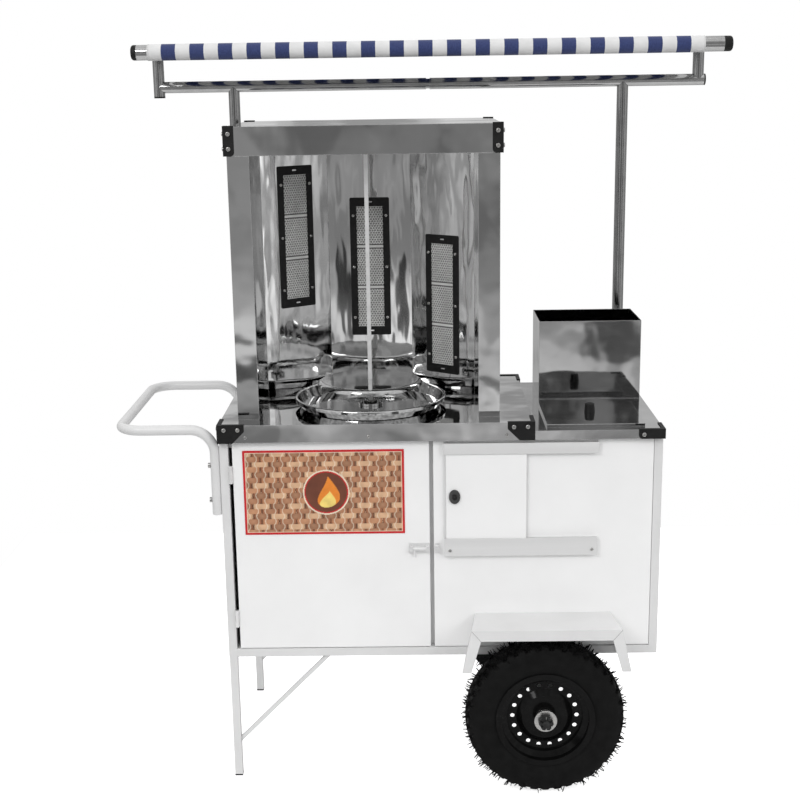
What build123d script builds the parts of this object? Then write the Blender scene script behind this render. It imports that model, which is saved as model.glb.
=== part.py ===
from build123d import *
import os
from math import cos, hypot, radians, sqrt

os.makedirs("parts", exist_ok=True)

# Gyro cart: a tube-framed cabinet on two wheels and two legs, carrying an upright gas roaster,
# a worktop and a striped canopy. Millimetres, front towards -Y, floor at Z = 0.

# Cabinet
cabinet_left = -511.5
cabinet_front = -340
cabinet_depth = 520
cabinet_height = 570
ground_clearance = 335
tube_size = 20
tube_wall = 1.5
weld_gap = 0.1
panel_sheet = 1.2
panel_top_gap = 2
panel_bottom_gap = 2.8
panel_side_gap = 1
foot_height = 4
plug_stub = 12
plug_clearance = 0.2
brace_size = 10
brace_foot_z = 95

# Cabinet door, hinges and sign
door_width = 486
door_gap = 10
door_back_gap = 0.5
hinge_length = 45
hinge_inset = 59
hinge_leaf_depth = 16
hinge_leaf_sheet = 1.5
knuckle_radius = 4
hinge_pin_diameter = 4
hinge_clearance = 0.05
knuckle_gap = 0.2
sign_width = 399
sign_height = 218
sign_sheet = 1
sign_left_margin = 25
sign_top_margin = 21
sign_corner_radius = 2

# Slide bolt on the door
latch_height = 265
latch_plate_length = 51
latch_plate_height = 27
latch_plate_sheet = 1.5
latch_edge_margin = 2
guide_length = 8
guide_margin = 2.5
guide_half_height = 7
bolt_diameter = 8
bolt_offset = 6.5
bolt_clearance = 0.1
bolt_lever_diameter = 5
bolt_lever_drop = 20
bolt_lever_inset = 11.5
guide_roof = 1.5
keeper_length = 10
keeper_inset = 3
keeper_clearance = 0.3

# Small sliding door, its tracks and its push lock
track_length = 381
track_inset = 26
track_depth = 12
track_lip = 2
groove_width = 5
top_track_height = 28
top_track_margin = 6
top_groove_depth = 18
bottom_track_height = 46
bottom_groove_depth = 15
hatch_opening_height = 200
slide_door_width = 199
slide_door_sheet = 3
slide_door_inset = 5
slide_door_lift = 0.3
slide_door_play = 3
hatch_left_overlap = 39.5
hatch_right_overlap = 10.5
hatch_bottom_overlap = 32
lock_inset = 21
lock_height = 124
lock_case_width = 28
lock_case_height = 36
lock_case_depth = 4
lock_barrel_diameter = 12
lock_pin_diameter = 7
lock_clearance = 0.2
lock_travel = 8
lock_pin_gap = 0.7
track_screw_inset = 14
track_screw_height = 15

# Push handle
handle_diameter = 25
handle_wall = 1.5
handle_reach = 238.8
handle_rise = 29
handle_end_drop = 188
handle_bend_radius = 60
handle_bolt_top = 62
handle_bolt_spacing = 89
handle_bolt_diameter = 8
bolt_hole_clearance = 0.4
handle_bolt_head = 13
handle_bolt_head_height = 5.5
handle_bolt_reach = 8

# Wheels and axle
wheel_from_left = 800
tyre_diameter = 400
tyre_width = 95
tyre_gap = 14.5
tread_drop = 7
tread_shoulder_inset = 10.5
tyre_wall = 9
bulge_radius_drop = 36
bead_top_radius = 127
bead_half_width = 38
bead_thickness = 14
tread_groove_count = 40
tread_groove_width = 8
tread_groove_depth = 9
tread_groove_length = 20
rim_flange_diameter = 250
rim_seat_diameter = 224
rim_drop_diameter = 196
rim_sheet = 2.5
rim_well_half_width = 14
rim_seat_half_width = 22
rim_clearance = 0.1
disc_out = 6
disc_dish = 10
disc_flat_radius = 70
disc_dish_radius = 56
rim_hole_count = 18
rim_hole_diameter = 11
rim_hole_circle = 162
hub_boss_diameter = 46
hub_boss_height = 8
hub_flange_diameter = 76
hub_flange_sheet = 4
hub_tube_diameter = 34
hub_outer = 40
axle_diameter = 20
axle_clearance = 0.05
axle_fit = 0.1
axle_tip = 4.4
wheel_side_clearance = 0.2
washer_diameter = 57
washer_thickness = 3
nut_across_flats = 32
nut_height = 16
nut_slot_width = 4
nut_slot_depth = 6
cotter_diameter = 3
cotter_length = 34
axle_bracket_inset = 7
axle_bracket_sheet = 6
axle_bracket_top_width = 110
axle_bracket_eye_diameter = 50

# Fenders
fender_clearance = 48
fender_top_width = 370
fender_flare = 24
fender_height = 110
fender_sheet = 1.5
fender_lip = 27
fender_side_lip = 23
fender_taper = 14
fender_front_gap = 8.5

# Machine base and worktop
machine_width = 658
base_left_margin = 39
base_right_margin = 75
base_overhang = 15
base_height = 45
worktop_width = 314.3
worktop_height = 23
stainless_sheet = 1.2
apron_screw_height = 14
apron_screw_inset = 66

# Black corner brackets
bracket_sheet = 3.5
bracket_bottom_gap = 0.2
bracket_lip_width = 6
bracket_lip_sheet = 2
base_bracket_width = 63.5
base_bracket_chamfer = 29
worktop_bracket_width = 61.5
worktop_bracket_round = 9
hood_bracket_width = 22.5
hood_bracket_round = 9
worktop_gap_play = 0.2

# Screws
screw_head_diameter = 11
screw_head_height = 3.5
screw_head_round = 2.1
screw_socket_diameter = 3.6
small_screw_diameter = 8
small_screw_height = 2.6
small_screw_round = 1.5
small_socket_diameter = 2.6
base_screw_insets = (14.5, 48.5)
base_screw_drop = 10.5
hood_screw_drops = (17, 52)
hood_screw_inset = 9.5
worktop_screw_inset = 49
worktop_screw_drop = 11.5

# Pan, lid and bin
lid_side_margin = 31.3
lid_right_margin = 42
lid_front_margin = 28
lid_depth = 252
lid_height = 8
lid_lift = 0.3
pan_flange_margin = 3
pan_flange_width = 12
pan_length_y = 196
pan_depth = 110
pan_sheet = 1.2
pan_cut_clearance = 1
knob_base_diameter = 27.5
knob_top_diameter = 23
knob_height = 22
knob_edge_radius = 2.75
bin_left_margin = 38
bin_side_gap = 1
bin_gap = 48
bin_rear_margin = 20
bin_height = 211

# Roasting machine
chamber_height = 645
hood_height = 69
machine_front_margin = 58
machine_depth = 447
column_inset = 4
column_width = 53
column_depth = 227
reflector_depth = 122
centre_panel_width = 219
panel_joint_gap = 0.2
burner_frame_width = 105
burner_frame_height = 369
burner_window_width = 70
burner_window_height = 323
burner_frame_corner = 4
burner_frame_sheet = 2
burner_screw_inset = 9
burner_screw_rise = 137
burner_slot_width = 14
burner_slot_height = 4
tile_width = 78
tile_height = 110
tile_gap = 0.3
tile_thickness = 13
burner_cut_clearance = 1
burner_body_margin = 8
burner_body_depth = 60
burner_body_sheet = 1.5
burner_left_rise = 97
burner_centre_rise = 7.5
burner_right_drop = 87.5

# Gas pipes, valves and knobs
manifold_height = 35
manifold_setback = 30
manifold_pipe_diameter = 16
manifold_overrun = 34
valve_size = 26
riser_diameter = 10
riser_wall = 1
riser_bend = 14
stem_diameter = 8
stem_hole_clearance = 1
stem_reach = 15
valve_knob_diameter = 40
valve_knob_height = 14
valve_grip_width = 10
valve_grip_length = 36
valve_grip_height = 10
valve_knob_gap = 0.5
inlet_diameter = 12
inlet_reach = 4
nipple_diameter = 10
nipple_length = 22

# Spit, drip tray and drive
spit_from_front = 205
rod_size = 10
rod_pivot_diameter = 8
pivot_clearance = 0.05
bearing_diameter = 34
bearing_height = 12
bearing_floor = 3
rod_seat_gap = 0.3
disc_height = 66
spit_disc_diameter = 268
spit_disc_flat = 242
spit_disc_drop = 12
spit_disc_sheet = 1.5
disc_hub_diameter = 30
disc_hub_height = 18
disc_hub_fit = 0.05
tray_diameter = 388
tray_floor_diameter = 356
tray_height = 28
tray_rim_width = 8
tray_lip = 10
tray_hole_diameter = 60
tray_collar_height = 8
tray_sheet = 1.2
hood_hole_diameter = 40
coupling_diameter = 26
coupling_height = 20
coupling_lift = 1.5
coupling_socket_depth = 14
coupling_shaft_diameter = 12
coupling_shaft_length = 20
coupling_gap = 2
gearbox_length = 90
gearbox_width = 70
gearbox_height = 32
gearbox_post_diameter = 10
gearbox_post_inset = 10
motor_diameter = 30
motor_length = 70

# Canopy
canopy_x = 16.5
canopy_tube_diameter = 30
canopy_tube_wall = 1.5
pole_spacing = 1051
pole_bottom_z = 600
socket_length = 280
socket_floor = 6
socket_diameter = 38
socket_clearance = 0.2
cross_bar_z = 1755
end_post_spacing = 1455
left_post_drop = 24
right_bar_overrun = 15
spigot_diameter = 26
spigot_show = 10
spigot_reach = 40
canopy_depth = 490
canopy_height = 1842
canopy_rise = 12
roller_diameter = 38
roller_wall = 1.5
left_overrun = 28
right_overrun = 48
left_cap_length = 14
right_cap_length = 22
cap_round = 7
fabric_sheet = 1.2
fabric_gap = 0.3
fabric_width = 1396
fabric_shift = 8
clamp_screw_drop = 30
clamp_screw_length = 8

# Places worked out from the driving dimensions
base_width = base_left_margin + machine_width + base_right_margin
base_right = cabinet_left + base_width
worktop_left = base_right + bracket_sheet + worktop_gap_play
cabinet_right = worktop_left + worktop_width
cabinet_rear = cabinet_front + cabinet_depth
frame_top = ground_clearance + cabinet_height
left_x = (cabinet_left, cabinet_left + tube_size)
right_x = (cabinet_right - tube_size, cabinet_right)
front_y = (cabinet_front, cabinet_front + tube_size)
rear_y = (cabinet_rear - tube_size, cabinet_rear)
set_back_y = (front_y[1], front_y[1] + tube_size)
bottom_z = (ground_clearance, ground_clearance + tube_size)
top_z = (frame_top - tube_size, frame_top)
inner_x = (left_x[1] + weld_gap, right_x[0] - weld_gap)
inner_y = (front_y[1] + weld_gap, rear_y[0] - weld_gap)
leg_y = (cabinet_front + tube_size / 2, cabinet_rear - tube_size / 2)
floor_top = bottom_z[1] + panel_sheet
panel_bottom = floor_top + panel_bottom_gap
panel_top = frame_top - panel_top_gap
panel_rear = cabinet_rear + panel_sheet
door_left = left_x[1] + door_gap
door_right = door_left + door_width
panel_left = door_right + door_gap
mid_post_x = (door_right + door_gap / 2 - tube_size / 2, door_right + door_gap / 2 + tube_size / 2)
front_panel_right = right_x[0] - panel_side_gap

base_top = frame_top + base_height
worktop_top = frame_top + worktop_height
base_front = cabinet_front - base_overhang
machine_x = cabinet_left + base_left_margin + machine_width / 2
machine_front = base_front + machine_front_margin
machine_rear = machine_front + machine_depth
hood_bottom = base_top + chamber_height
hood_top = hood_bottom + hood_height
spit_y = base_front + spit_from_front


def span_box(x, y, z, mode=Mode.ADD):
    """Box between the low and high values given for each axis."""
    middle = [(low + high) / 2 for low, high in (x, y, z)]
    with Locations(tuple(middle)):
        Box(*(high - low for low, high in (x, y, z)), mode=mode)


def square_tube(x, y, z, along):
    """Hollow square tube of the given ranges, with its bore along one axis."""
    span_box(x, y, z)
    bore = []
    for axis, (low, high) in zip("xyz", (x, y, z)):
        wall = 0 if axis == along else tube_wall
        bore.append((low + wall, high - wall))
    span_box(*bore, mode=Mode.SUBTRACT)


def shell(x, y, z, sheet, open_side):
    """Folded sheet box of the given outer ranges, open on one side such as "+y"."""
    span_box(x, y, z)
    inside = []
    for axis, (low, high) in zip("xyz", (x, y, z)):
        low_wall = 0 if open_side == "-" + axis else sheet
        high_wall = 0 if open_side == "+" + axis else sheet
        inside.append((low + low_wall, high - high_wall))
    span_box(*inside, mode=Mode.SUBTRACT)


def rod(start, end, diameter, mode=Mode.ADD):
    """Round bar between two points."""
    reach = Vector(*end) - Vector(*start)
    with Locations(Plane(start, z_dir=reach)):
        Cylinder(diameter / 2, reach.length, align=(Align.CENTER, Align.CENTER, Align.MIN), mode=mode)


def round_tube(start, end, diameter, wall):
    """Hollow round tube between two points."""
    rod(start, end, diameter)
    rod(start, end, diameter - 2 * wall, mode=Mode.SUBTRACT)


def keep(builder, name):
    """Label a finished piece and write it out."""
    builder.part.label = name
    export_step(builder.part, f"parts/{name}.step")


# Cabinet frame
handle_bolt_z = (frame_top - handle_bolt_top, frame_top - handle_bolt_top - handle_bolt_spacing)
handle_bolt_hole = handle_bolt_diameter + bolt_hole_clearance
handle_outer_x = cabinet_left - panel_sheet - handle_diameter

with BuildPart() as frame_tubes:
    for y in (front_y, rear_y):
        square_tube(left_x, y, (foot_height, frame_top), "z")
        square_tube(right_x, y, (ground_clearance, frame_top), "z")
        square_tube(inner_x, y, bottom_z, "x")
    for x in (left_x, right_x):
        square_tube(x, inner_y, bottom_z, "y")
        square_tube(x, inner_y, top_z, "y")
    square_tube(inner_x, rear_y, top_z, "x")
    square_tube(inner_x, set_back_y, top_z, "x")
    square_tube(mid_post_x, set_back_y, (floor_top, top_z[0] - weld_gap), "z")
    brace_foot = brace_size * sqrt(2)
    brace_top = ground_clearance - weld_gap
    for y in leg_y:
        with BuildSketch(Plane.XZ.offset(-y)):
            with BuildLine():
                Polyline(
                    (inner_x[0], brace_foot_z),
                    (inner_x[0], brace_foot_z + brace_foot),
                    (inner_x[0] + brace_top - brace_foot_z - brace_foot, brace_top),
                    (inner_x[0] + brace_top - brace_foot_z, brace_top),
                    close=True,
                )
            make_face()
        extrude(amount=brace_size / 2, both=True)
        for z in handle_bolt_z:
            bolt_end = cabinet_left + tube_wall + weld_gap
            rod((cabinet_left, y, z), (bolt_end, y, z), handle_bolt_hole, mode=Mode.SUBTRACT)
keep(frame_tubes, "frame_tubes")

with BuildPart() as floor_panel:
    span_box(inner_x, (cabinet_front, cabinet_rear), (bottom_z[1], floor_top))
keep(floor_panel, "floor_panel")

with BuildPart() as rear_panel:
    span_box((cabinet_left, cabinet_right), (cabinet_rear, panel_rear), (ground_clearance, frame_top))
keep(rear_panel, "rear_panel")

side_panel_x = ((cabinet_left - panel_sheet, cabinet_left), (cabinet_right, cabinet_right + panel_sheet))
with BuildPart() as side_panels:
    for x in side_panel_x:
        span_box(x, (cabinet_front, cabinet_rear), (ground_clearance, frame_top))
    for y in leg_y:
        for z in handle_bolt_z:
            panel_face = cabinet_left - panel_sheet
            rod((panel_face, y, z), (cabinet_left, y, z), handle_bolt_hole, mode=Mode.SUBTRACT)
keep(side_panels, "side_panels")

# Cabinet door and sign
with BuildPart() as cabinet_door:
    door_back = front_y[1] - door_back_gap
    shell((door_left, door_right), (cabinet_front, door_back), (panel_bottom, panel_top), panel_sheet, "+y")
keep(cabinet_door, "cabinet_door")

sign_x = (door_left + sign_left_margin, door_left + sign_left_margin + sign_width)
sign_z = (panel_top - sign_top_margin - sign_height, panel_top - sign_top_margin)
with BuildPart() as door_sign:
    span_box(sign_x, (cabinet_front - sign_sheet, cabinet_front), sign_z)
    fillet(door_sign.edges().filter_by(Axis.Y), sign_corner_radius)
keep(door_sign, "door_sign")

# Hinges: frame leaves carry the outer knuckles and the pin, door leaves the middle knuckle
hinge_x = left_x[1] + door_gap / 2
hinge_y = cabinet_front - knuckle_radius
hinge_low = (panel_bottom + hinge_inset, panel_top - hinge_inset - hinge_length)
knuckle_length = hinge_length / 3
leaf_y = (cabinet_front, cabinet_front + hinge_leaf_depth)
tab_y = (hinge_y, cabinet_front)
frame_leaf_x = (left_x[1], left_x[1] + hinge_leaf_sheet)
door_leaf_x = (door_left - hinge_leaf_sheet, door_left)

with BuildPart() as hinge_frame_leaves:
    for low in hinge_low:
        span_box(frame_leaf_x, leaf_y, (low, low + hinge_length))
        for start in (low, low + 2 * knuckle_length + knuckle_gap):
            end = start + knuckle_length - knuckle_gap
            span_box(frame_leaf_x, tab_y, (start, end))
            rod((hinge_x, hinge_y, start), (hinge_x, hinge_y, end), 2 * knuckle_radius)
        rod((hinge_x, hinge_y, low), (hinge_x, hinge_y, low + hinge_length), hinge_pin_diameter)
keep(hinge_frame_leaves, "hinge_frame_leaves")

with BuildPart() as hinge_door_leaves:
    for low in hinge_low:
        start = low + knuckle_length
        end = low + 2 * knuckle_length
        span_box(door_leaf_x, leaf_y, (low, low + hinge_length))
        span_box(door_leaf_x, tab_y, (start, end))
        rod((hinge_x, hinge_y, start), (hinge_x, hinge_y, end), 2 * knuckle_radius)
        bore = hinge_pin_diameter + 2 * hinge_clearance
        rod((hinge_x, hinge_y, start), (hinge_x, hinge_y, end), bore, mode=Mode.SUBTRACT)
keep(hinge_door_leaves, "hinge_door_leaves")

# Slide bolt, drawn back at rest
latch_z = panel_bottom + latch_height
latch_x = (door_right - latch_edge_margin - latch_plate_length, door_right - latch_edge_margin)
latch_z_range = (latch_z - latch_plate_height / 2, latch_z + latch_plate_height / 2)
bolt_y = cabinet_front - bolt_offset
guide_y = (bolt_y - bolt_diameter / 2 - guide_roof, cabinet_front)
guide_z = (latch_z - guide_half_height, latch_z + guide_half_height)
guide_starts = (latch_x[0] + guide_margin, latch_x[1] - guide_margin - guide_length + latch_edge_margin)
guide_bore = bolt_diameter + 2 * bolt_clearance

with BuildPart() as latch_body:
    span_box(latch_x, (cabinet_front - latch_plate_sheet, cabinet_front), latch_z_range)
    for start in guide_starts:
        span_box((start, start + guide_length), guide_y, guide_z)
        bore_start = (start, bolt_y, latch_z)
        bore_end = (start + guide_length, bolt_y, latch_z)
        rod(bore_start, bore_end, guide_bore, mode=Mode.SUBTRACT)
keep(latch_body, "latch_body")

bolt_tip = latch_x[1]
with BuildPart() as latch_bolt:
    bolt_tail = guide_starts[0] + weld_gap
    lever_x = bolt_tail + bolt_lever_inset
    rod((bolt_tail, bolt_y, latch_z), (bolt_tip, bolt_y, latch_z), bolt_diameter)
    rod((lever_x, bolt_y, latch_z), (lever_x, bolt_y, latch_z - bolt_lever_drop), bolt_lever_diameter)
keep(latch_bolt, "latch_bolt")

keeper_x = (panel_left + keeper_inset, panel_left + keeper_inset + keeper_length)
with BuildPart() as latch_keeper:
    span_box(keeper_x, (cabinet_front - latch_plate_sheet, cabinet_front), latch_z_range)
    span_box(keeper_x, guide_y, guide_z)
    keeper_bore = bolt_diameter + 2 * keeper_clearance
    rod((keeper_x[0], bolt_y, latch_z), (keeper_x[1], bolt_y, latch_z), keeper_bore, mode=Mode.SUBTRACT)
keep(latch_keeper, "latch_keeper")

# Right front panel with the hatch, its tracks and the sliding door
track_x = (panel_left + track_inset, panel_left + track_inset + track_length)
top_track_z = (panel_top - top_track_margin - top_track_height, panel_top - top_track_margin)
slide_door_top = top_track_z[0] + top_groove_depth - slide_door_play
hatch_z = (top_track_z[0] - panel_side_gap - hatch_opening_height, top_track_z[0] - panel_side_gap)
bottom_groove_floor = hatch_z[0] - hatch_bottom_overlap
bottom_track_top = bottom_groove_floor + bottom_groove_depth
bottom_track_z = (bottom_track_top - bottom_track_height, bottom_track_top)
slide_door_z = (bottom_groove_floor + slide_door_lift, slide_door_top)
slide_door_x = (track_x[0] + slide_door_inset, track_x[0] + slide_door_inset + slide_door_width)
hatch_x = (slide_door_x[0] + hatch_left_overlap, slide_door_x[1] - hatch_right_overlap)
track_y = (cabinet_front - track_depth, cabinet_front)
groove_y = (track_y[0] + track_lip, track_y[0] + track_lip + groove_width)
groove_play = (groove_width - slide_door_sheet) / 2
slide_door_y = (groove_y[0] + groove_play, groove_y[1] - groove_play)
lock_x = slide_door_x[0] + lock_inset
lock_z = slide_door_z[0] + lock_height
lock_pin_hole = lock_pin_diameter + 2 * lock_clearance

with BuildPart() as front_panel:
    shell((panel_left, front_panel_right), front_y, (panel_bottom, panel_top), panel_sheet, "+y")
    span_box(hatch_x, (cabinet_front, cabinet_front + panel_sheet), hatch_z, mode=Mode.SUBTRACT)
    pin_entry = (lock_x, cabinet_front, lock_z)
    pin_exit = (lock_x, cabinet_front + panel_sheet, lock_z)
    rod(pin_entry, pin_exit, lock_pin_hole, mode=Mode.SUBTRACT)
keep(front_panel, "front_panel")

with BuildPart() as door_tracks:
    span_box(track_x, track_y, top_track_z)
    groove_top_z = (top_track_z[0], top_track_z[0] + top_groove_depth)
    span_box(track_x, groove_y, groove_top_z, mode=Mode.SUBTRACT)
    span_box(track_x, track_y, bottom_track_z)
    span_box(track_x, groove_y, (bottom_groove_floor, bottom_track_z[1]), mode=Mode.SUBTRACT)
keep(door_tracks, "door_tracks")

barrel_hole = lock_barrel_diameter + 2 * lock_clearance
with BuildPart() as sliding_door:
    span_box(slide_door_x, slide_door_y, slide_door_z)
    door_face = (lock_x, slide_door_y[0], lock_z)
    door_rear = (lock_x, slide_door_y[1], lock_z)
    rod(door_face, door_rear, barrel_hole, mode=Mode.SUBTRACT)
keep(sliding_door, "sliding_door")

lock_plane = Plane((lock_x, slide_door_y[0], lock_z), x_dir=(1, 0, 0), z_dir=(0, -1, 0))
with BuildPart() as lock_case:
    with BuildSketch(lock_plane):
        Ellipse(lock_case_width / 2, lock_case_height / 2)
        Circle(barrel_hole / 2, mode=Mode.SUBTRACT)
    extrude(amount=lock_case_depth)
keep(lock_case, "lock_case")

with BuildPart() as lock_barrel:
    barrel_rear = cabinet_front - lock_pin_gap - lock_travel
    barrel_front = slide_door_y[0] - lock_case_depth - lock_travel - lock_pin_gap
    rod((lock_x, barrel_front, lock_z), (lock_x, barrel_rear, lock_z), lock_barrel_diameter)
    pin_tip = cabinet_front - lock_pin_gap
    rod((lock_x, barrel_rear, lock_z), (lock_x, pin_tip, lock_z), lock_pin_diameter)
keep(lock_barrel, "lock_barrel")

# Push handle
handle_x = cabinet_left - panel_sheet - handle_diameter / 2
handle_left = handle_x - handle_reach
handle_z = frame_top + handle_rise
handle_low = frame_top - handle_end_drop
handle_corners = [
    (handle_x, leg_y[0], handle_low),
    (handle_x, leg_y[0], handle_z),
    (handle_left, leg_y[0], handle_z),
    (handle_left, leg_y[1], handle_z),
    (handle_x, leg_y[1], handle_z),
    (handle_x, leg_y[1], handle_low),
]
with BuildPart() as push_handle:
    with BuildLine():
        FilletPolyline(*handle_corners, radius=handle_bend_radius)
    with BuildSketch(Plane(handle_corners[0], z_dir=(0, 0, 1))):
        Circle(handle_diameter / 2)
        Circle(handle_diameter / 2 - handle_wall, mode=Mode.SUBTRACT)
    sweep()
    for y in leg_y:
        for z in handle_bolt_z:
            tube_face = (handle_outer_x, y, z)
            rod(tube_face, (cabinet_left - panel_sheet, y, z), handle_bolt_hole, mode=Mode.SUBTRACT)
keep(push_handle, "push_handle")

# Wheels
wheel_x = cabinet_left + wheel_from_left
axle_z = tyre_diameter / 2
wheel_offset = tyre_width / 2 + tyre_gap
wheel_y = (cabinet_front - wheel_offset, cabinet_rear + wheel_offset)
hub_inner = wheel_offset + axle_bracket_inset - washer_thickness - wheel_side_clearance
nut_start = hub_outer + wheel_side_clearance + washer_thickness + weld_gap
axle_end = nut_start + nut_height + axle_tip
disc_face = disc_out + disc_dish


def make_wheel(name, mid_y, outward):
    """Tyre, rim and hub of one wheel, drawn as radius against distance towards the outer side."""
    section = Plane((wheel_x, mid_y, axle_z), x_dir=(1, 0, 0), z_dir=(0, 0, outward))
    spin = Axis((wheel_x, mid_y, axle_z), (0, 1, 0))
    side_view = Plane((wheel_x, mid_y, axle_z), x_dir=(1, 0, 0), z_dir=(0, 1, 0))
    radius = tyre_diameter / 2
    half = tyre_width / 2
    shoulder = (radius - tread_drop, half - tread_shoulder_inset)
    inner_shoulder = (shoulder[0] - tyre_wall, shoulder[1] - tyre_wall)
    seat_radius = rim_seat_diameter / 2 + rim_clearance

    with BuildPart() as tyre:
        with BuildSketch(section):
            with BuildLine():
                TangentArc((radius, 0), shoulder, tangent=(0, 1))
                ThreePointArc(shoulder, (radius - bulge_radius_drop, half), (bead_top_radius, bead_half_width))
                Polyline(
                    (bead_top_radius, bead_half_width),
                    (seat_radius, bead_half_width),
                    (seat_radius, bead_half_width - bead_thickness),
                    (bead_top_radius, bead_half_width - tyre_wall),
                )
                inner_bulge = (radius - bulge_radius_drop, half - tyre_wall)
                ThreePointArc((bead_top_radius, bead_half_width - tyre_wall), inner_bulge, inner_shoulder)
                TangentArc((radius - tyre_wall, 0), inner_shoulder, tangent=(0, 1))
                mirror(about=Plane.XZ)
            make_face()
        revolve(axis=spin)
        for side in (-1, 1):
            groove_middle = side * (half - tread_groove_length / 2)
            with Locations(side_view.offset(groove_middle)):
                with PolarLocations(radius - tread_drop / 2, tread_groove_count):
                    Box(tread_groove_depth, tread_groove_width, tread_groove_length, mode=Mode.SUBTRACT)
    keep(tyre, f"{name}_tyre")

    flange_inner = bead_half_width + rim_clearance
    flange_outer = flange_inner + rim_sheet
    rim_seat = rim_seat_diameter / 2
    rim_drop = rim_drop_diameter / 2
    with BuildPart() as rim:
        with BuildSketch(section):
            with BuildLine():
                Polyline(
                    (rim_drop, 0),
                    (rim_drop, rim_well_half_width),
                    (rim_seat, rim_seat_half_width),
                    (rim_seat, flange_inner),
                    (rim_flange_diameter / 2, flange_inner),
                    (rim_flange_diameter / 2, flange_outer),
                    (rim_seat - rim_sheet, flange_outer),
                    (rim_seat - rim_sheet, rim_seat_half_width + rim_sheet),
                    (rim_drop - rim_sheet, rim_well_half_width + rim_sheet),
                    (rim_drop - rim_sheet, 0),
                )
                mirror(about=Plane.XZ)
            make_face()
            with BuildLine():
                Polyline(
                    (rim_drop - rim_sheet / 2, disc_out),
                    (disc_flat_radius, disc_out),
                    (disc_dish_radius, disc_face),
                    (hub_tube_diameter / 2 + rim_clearance, disc_face),
                    (hub_tube_diameter / 2 + rim_clearance, disc_face + rim_sheet),
                    (disc_dish_radius + rim_sheet / 2, disc_face + rim_sheet),
                    (disc_flat_radius + rim_sheet / 2, disc_out + rim_sheet),
                    (rim_drop - rim_sheet / 2, disc_out + rim_sheet),
                    close=True,
                )
            make_face()
        revolve(axis=spin)
        with Locations(side_view):
            with PolarLocations(rim_hole_circle / 2, rim_hole_count):
                Cylinder(rim_hole_diameter / 2, rim_drop_diameter, mode=Mode.SUBTRACT)
    keep(rim, f"{name}_rim")

    bore = axle_diameter / 2 + axle_clearance
    boss_start = disc_face + rim_sheet
    with BuildPart() as hub:
        with BuildSketch(section):
            with BuildLine():
                Polyline(
                    (bore, -hub_inner),
                    (hub_tube_diameter / 2, -hub_inner),
                    (hub_tube_diameter / 2, disc_face - hub_flange_sheet),
                    (hub_flange_diameter / 2, disc_face - hub_flange_sheet),
                    (hub_flange_diameter / 2, disc_face),
                    (hub_tube_diameter / 2, disc_face),
                    (hub_tube_diameter / 2, boss_start),
                    (hub_boss_diameter / 2, boss_start),
                    (hub_boss_diameter / 2, boss_start + hub_boss_height),
                    (hub_tube_diameter / 2, boss_start + hub_boss_height),
                    (hub_tube_diameter / 2, hub_outer),
                    (bore, hub_outer),
                    close=True,
                )
            make_face()
        revolve(axis=spin)
    keep(hub, f"{name}_hub")


make_wheel("front", wheel_y[0], -1)
make_wheel("rear", wheel_y[1], 1)

# Axle with its castle nuts; one slot of each nut stands upright for the pin
axle_hole = axle_diameter + 2 * axle_fit
with BuildPart() as castle_nut:
    with BuildSketch():
        RegularPolygon(nut_across_flats / 2 / cos(radians(30)), 6)
        Circle(axle_hole / 2, mode=Mode.SUBTRACT)
    extrude(amount=nut_height)
    with Locations((0, 0, nut_height)):
        for turn in (30, 90, 150):
            slot_length = 2 * nut_across_flats
            Box(slot_length, nut_slot_width, 2 * nut_slot_depth, rotation=(0, 0, turn), mode=Mode.SUBTRACT)

cotter_out = nut_start + nut_height - nut_slot_depth / 2
with BuildPart() as axle:
    rod((wheel_x, wheel_y[0] - axle_end, axle_z), (wheel_x, wheel_y[1] + axle_end, axle_z), axle_diameter)
    for mid_y, outward in zip(wheel_y, (-1, 1)):
        pin_y = mid_y + outward * cotter_out
        pin_hole = cotter_diameter + 2 * axle_fit
        hole_ends = ((wheel_x, pin_y, axle_z - axle_diameter), (wheel_x, pin_y, axle_z + axle_diameter))
        rod(*hole_ends, pin_hole, mode=Mode.SUBTRACT)
        nut_seat = (wheel_x, mid_y + outward * nut_start, axle_z)
        with Locations(Plane(nut_seat, x_dir=(1, 0, 0), z_dir=(0, outward, 0))):
            add(castle_nut.part)
keep(axle, "axle")

with BuildPart() as axle_brackets:
    for outer_y, outward in ((cabinet_front, -1), (cabinet_rear, 1)):
        outer_face = Plane((wheel_x, outer_y - outward * axle_bracket_inset, 0), x_dir=(1, 0, 0), z_dir=(0, -1, 0))
        with BuildSketch(outer_face):
            with BuildLine():
                eye_radius = axle_bracket_eye_diameter / 2
                right_side = Line((axle_bracket_top_width / 2, ground_clearance), (eye_radius, axle_z))
                ThreePointArc(right_side @ 1, (0, axle_z - eye_radius), (-eye_radius, axle_z))
                Polyline(
                    (-eye_radius, axle_z),
                    (-axle_bracket_top_width / 2, ground_clearance),
                    (axle_bracket_top_width / 2, ground_clearance),
                )
            make_face()
            with Locations((0, axle_z)):
                Circle(axle_hole / 2, mode=Mode.SUBTRACT)
        extrude(amount=outward * axle_bracket_sheet)
keep(axle_brackets, "axle_brackets")

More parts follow.
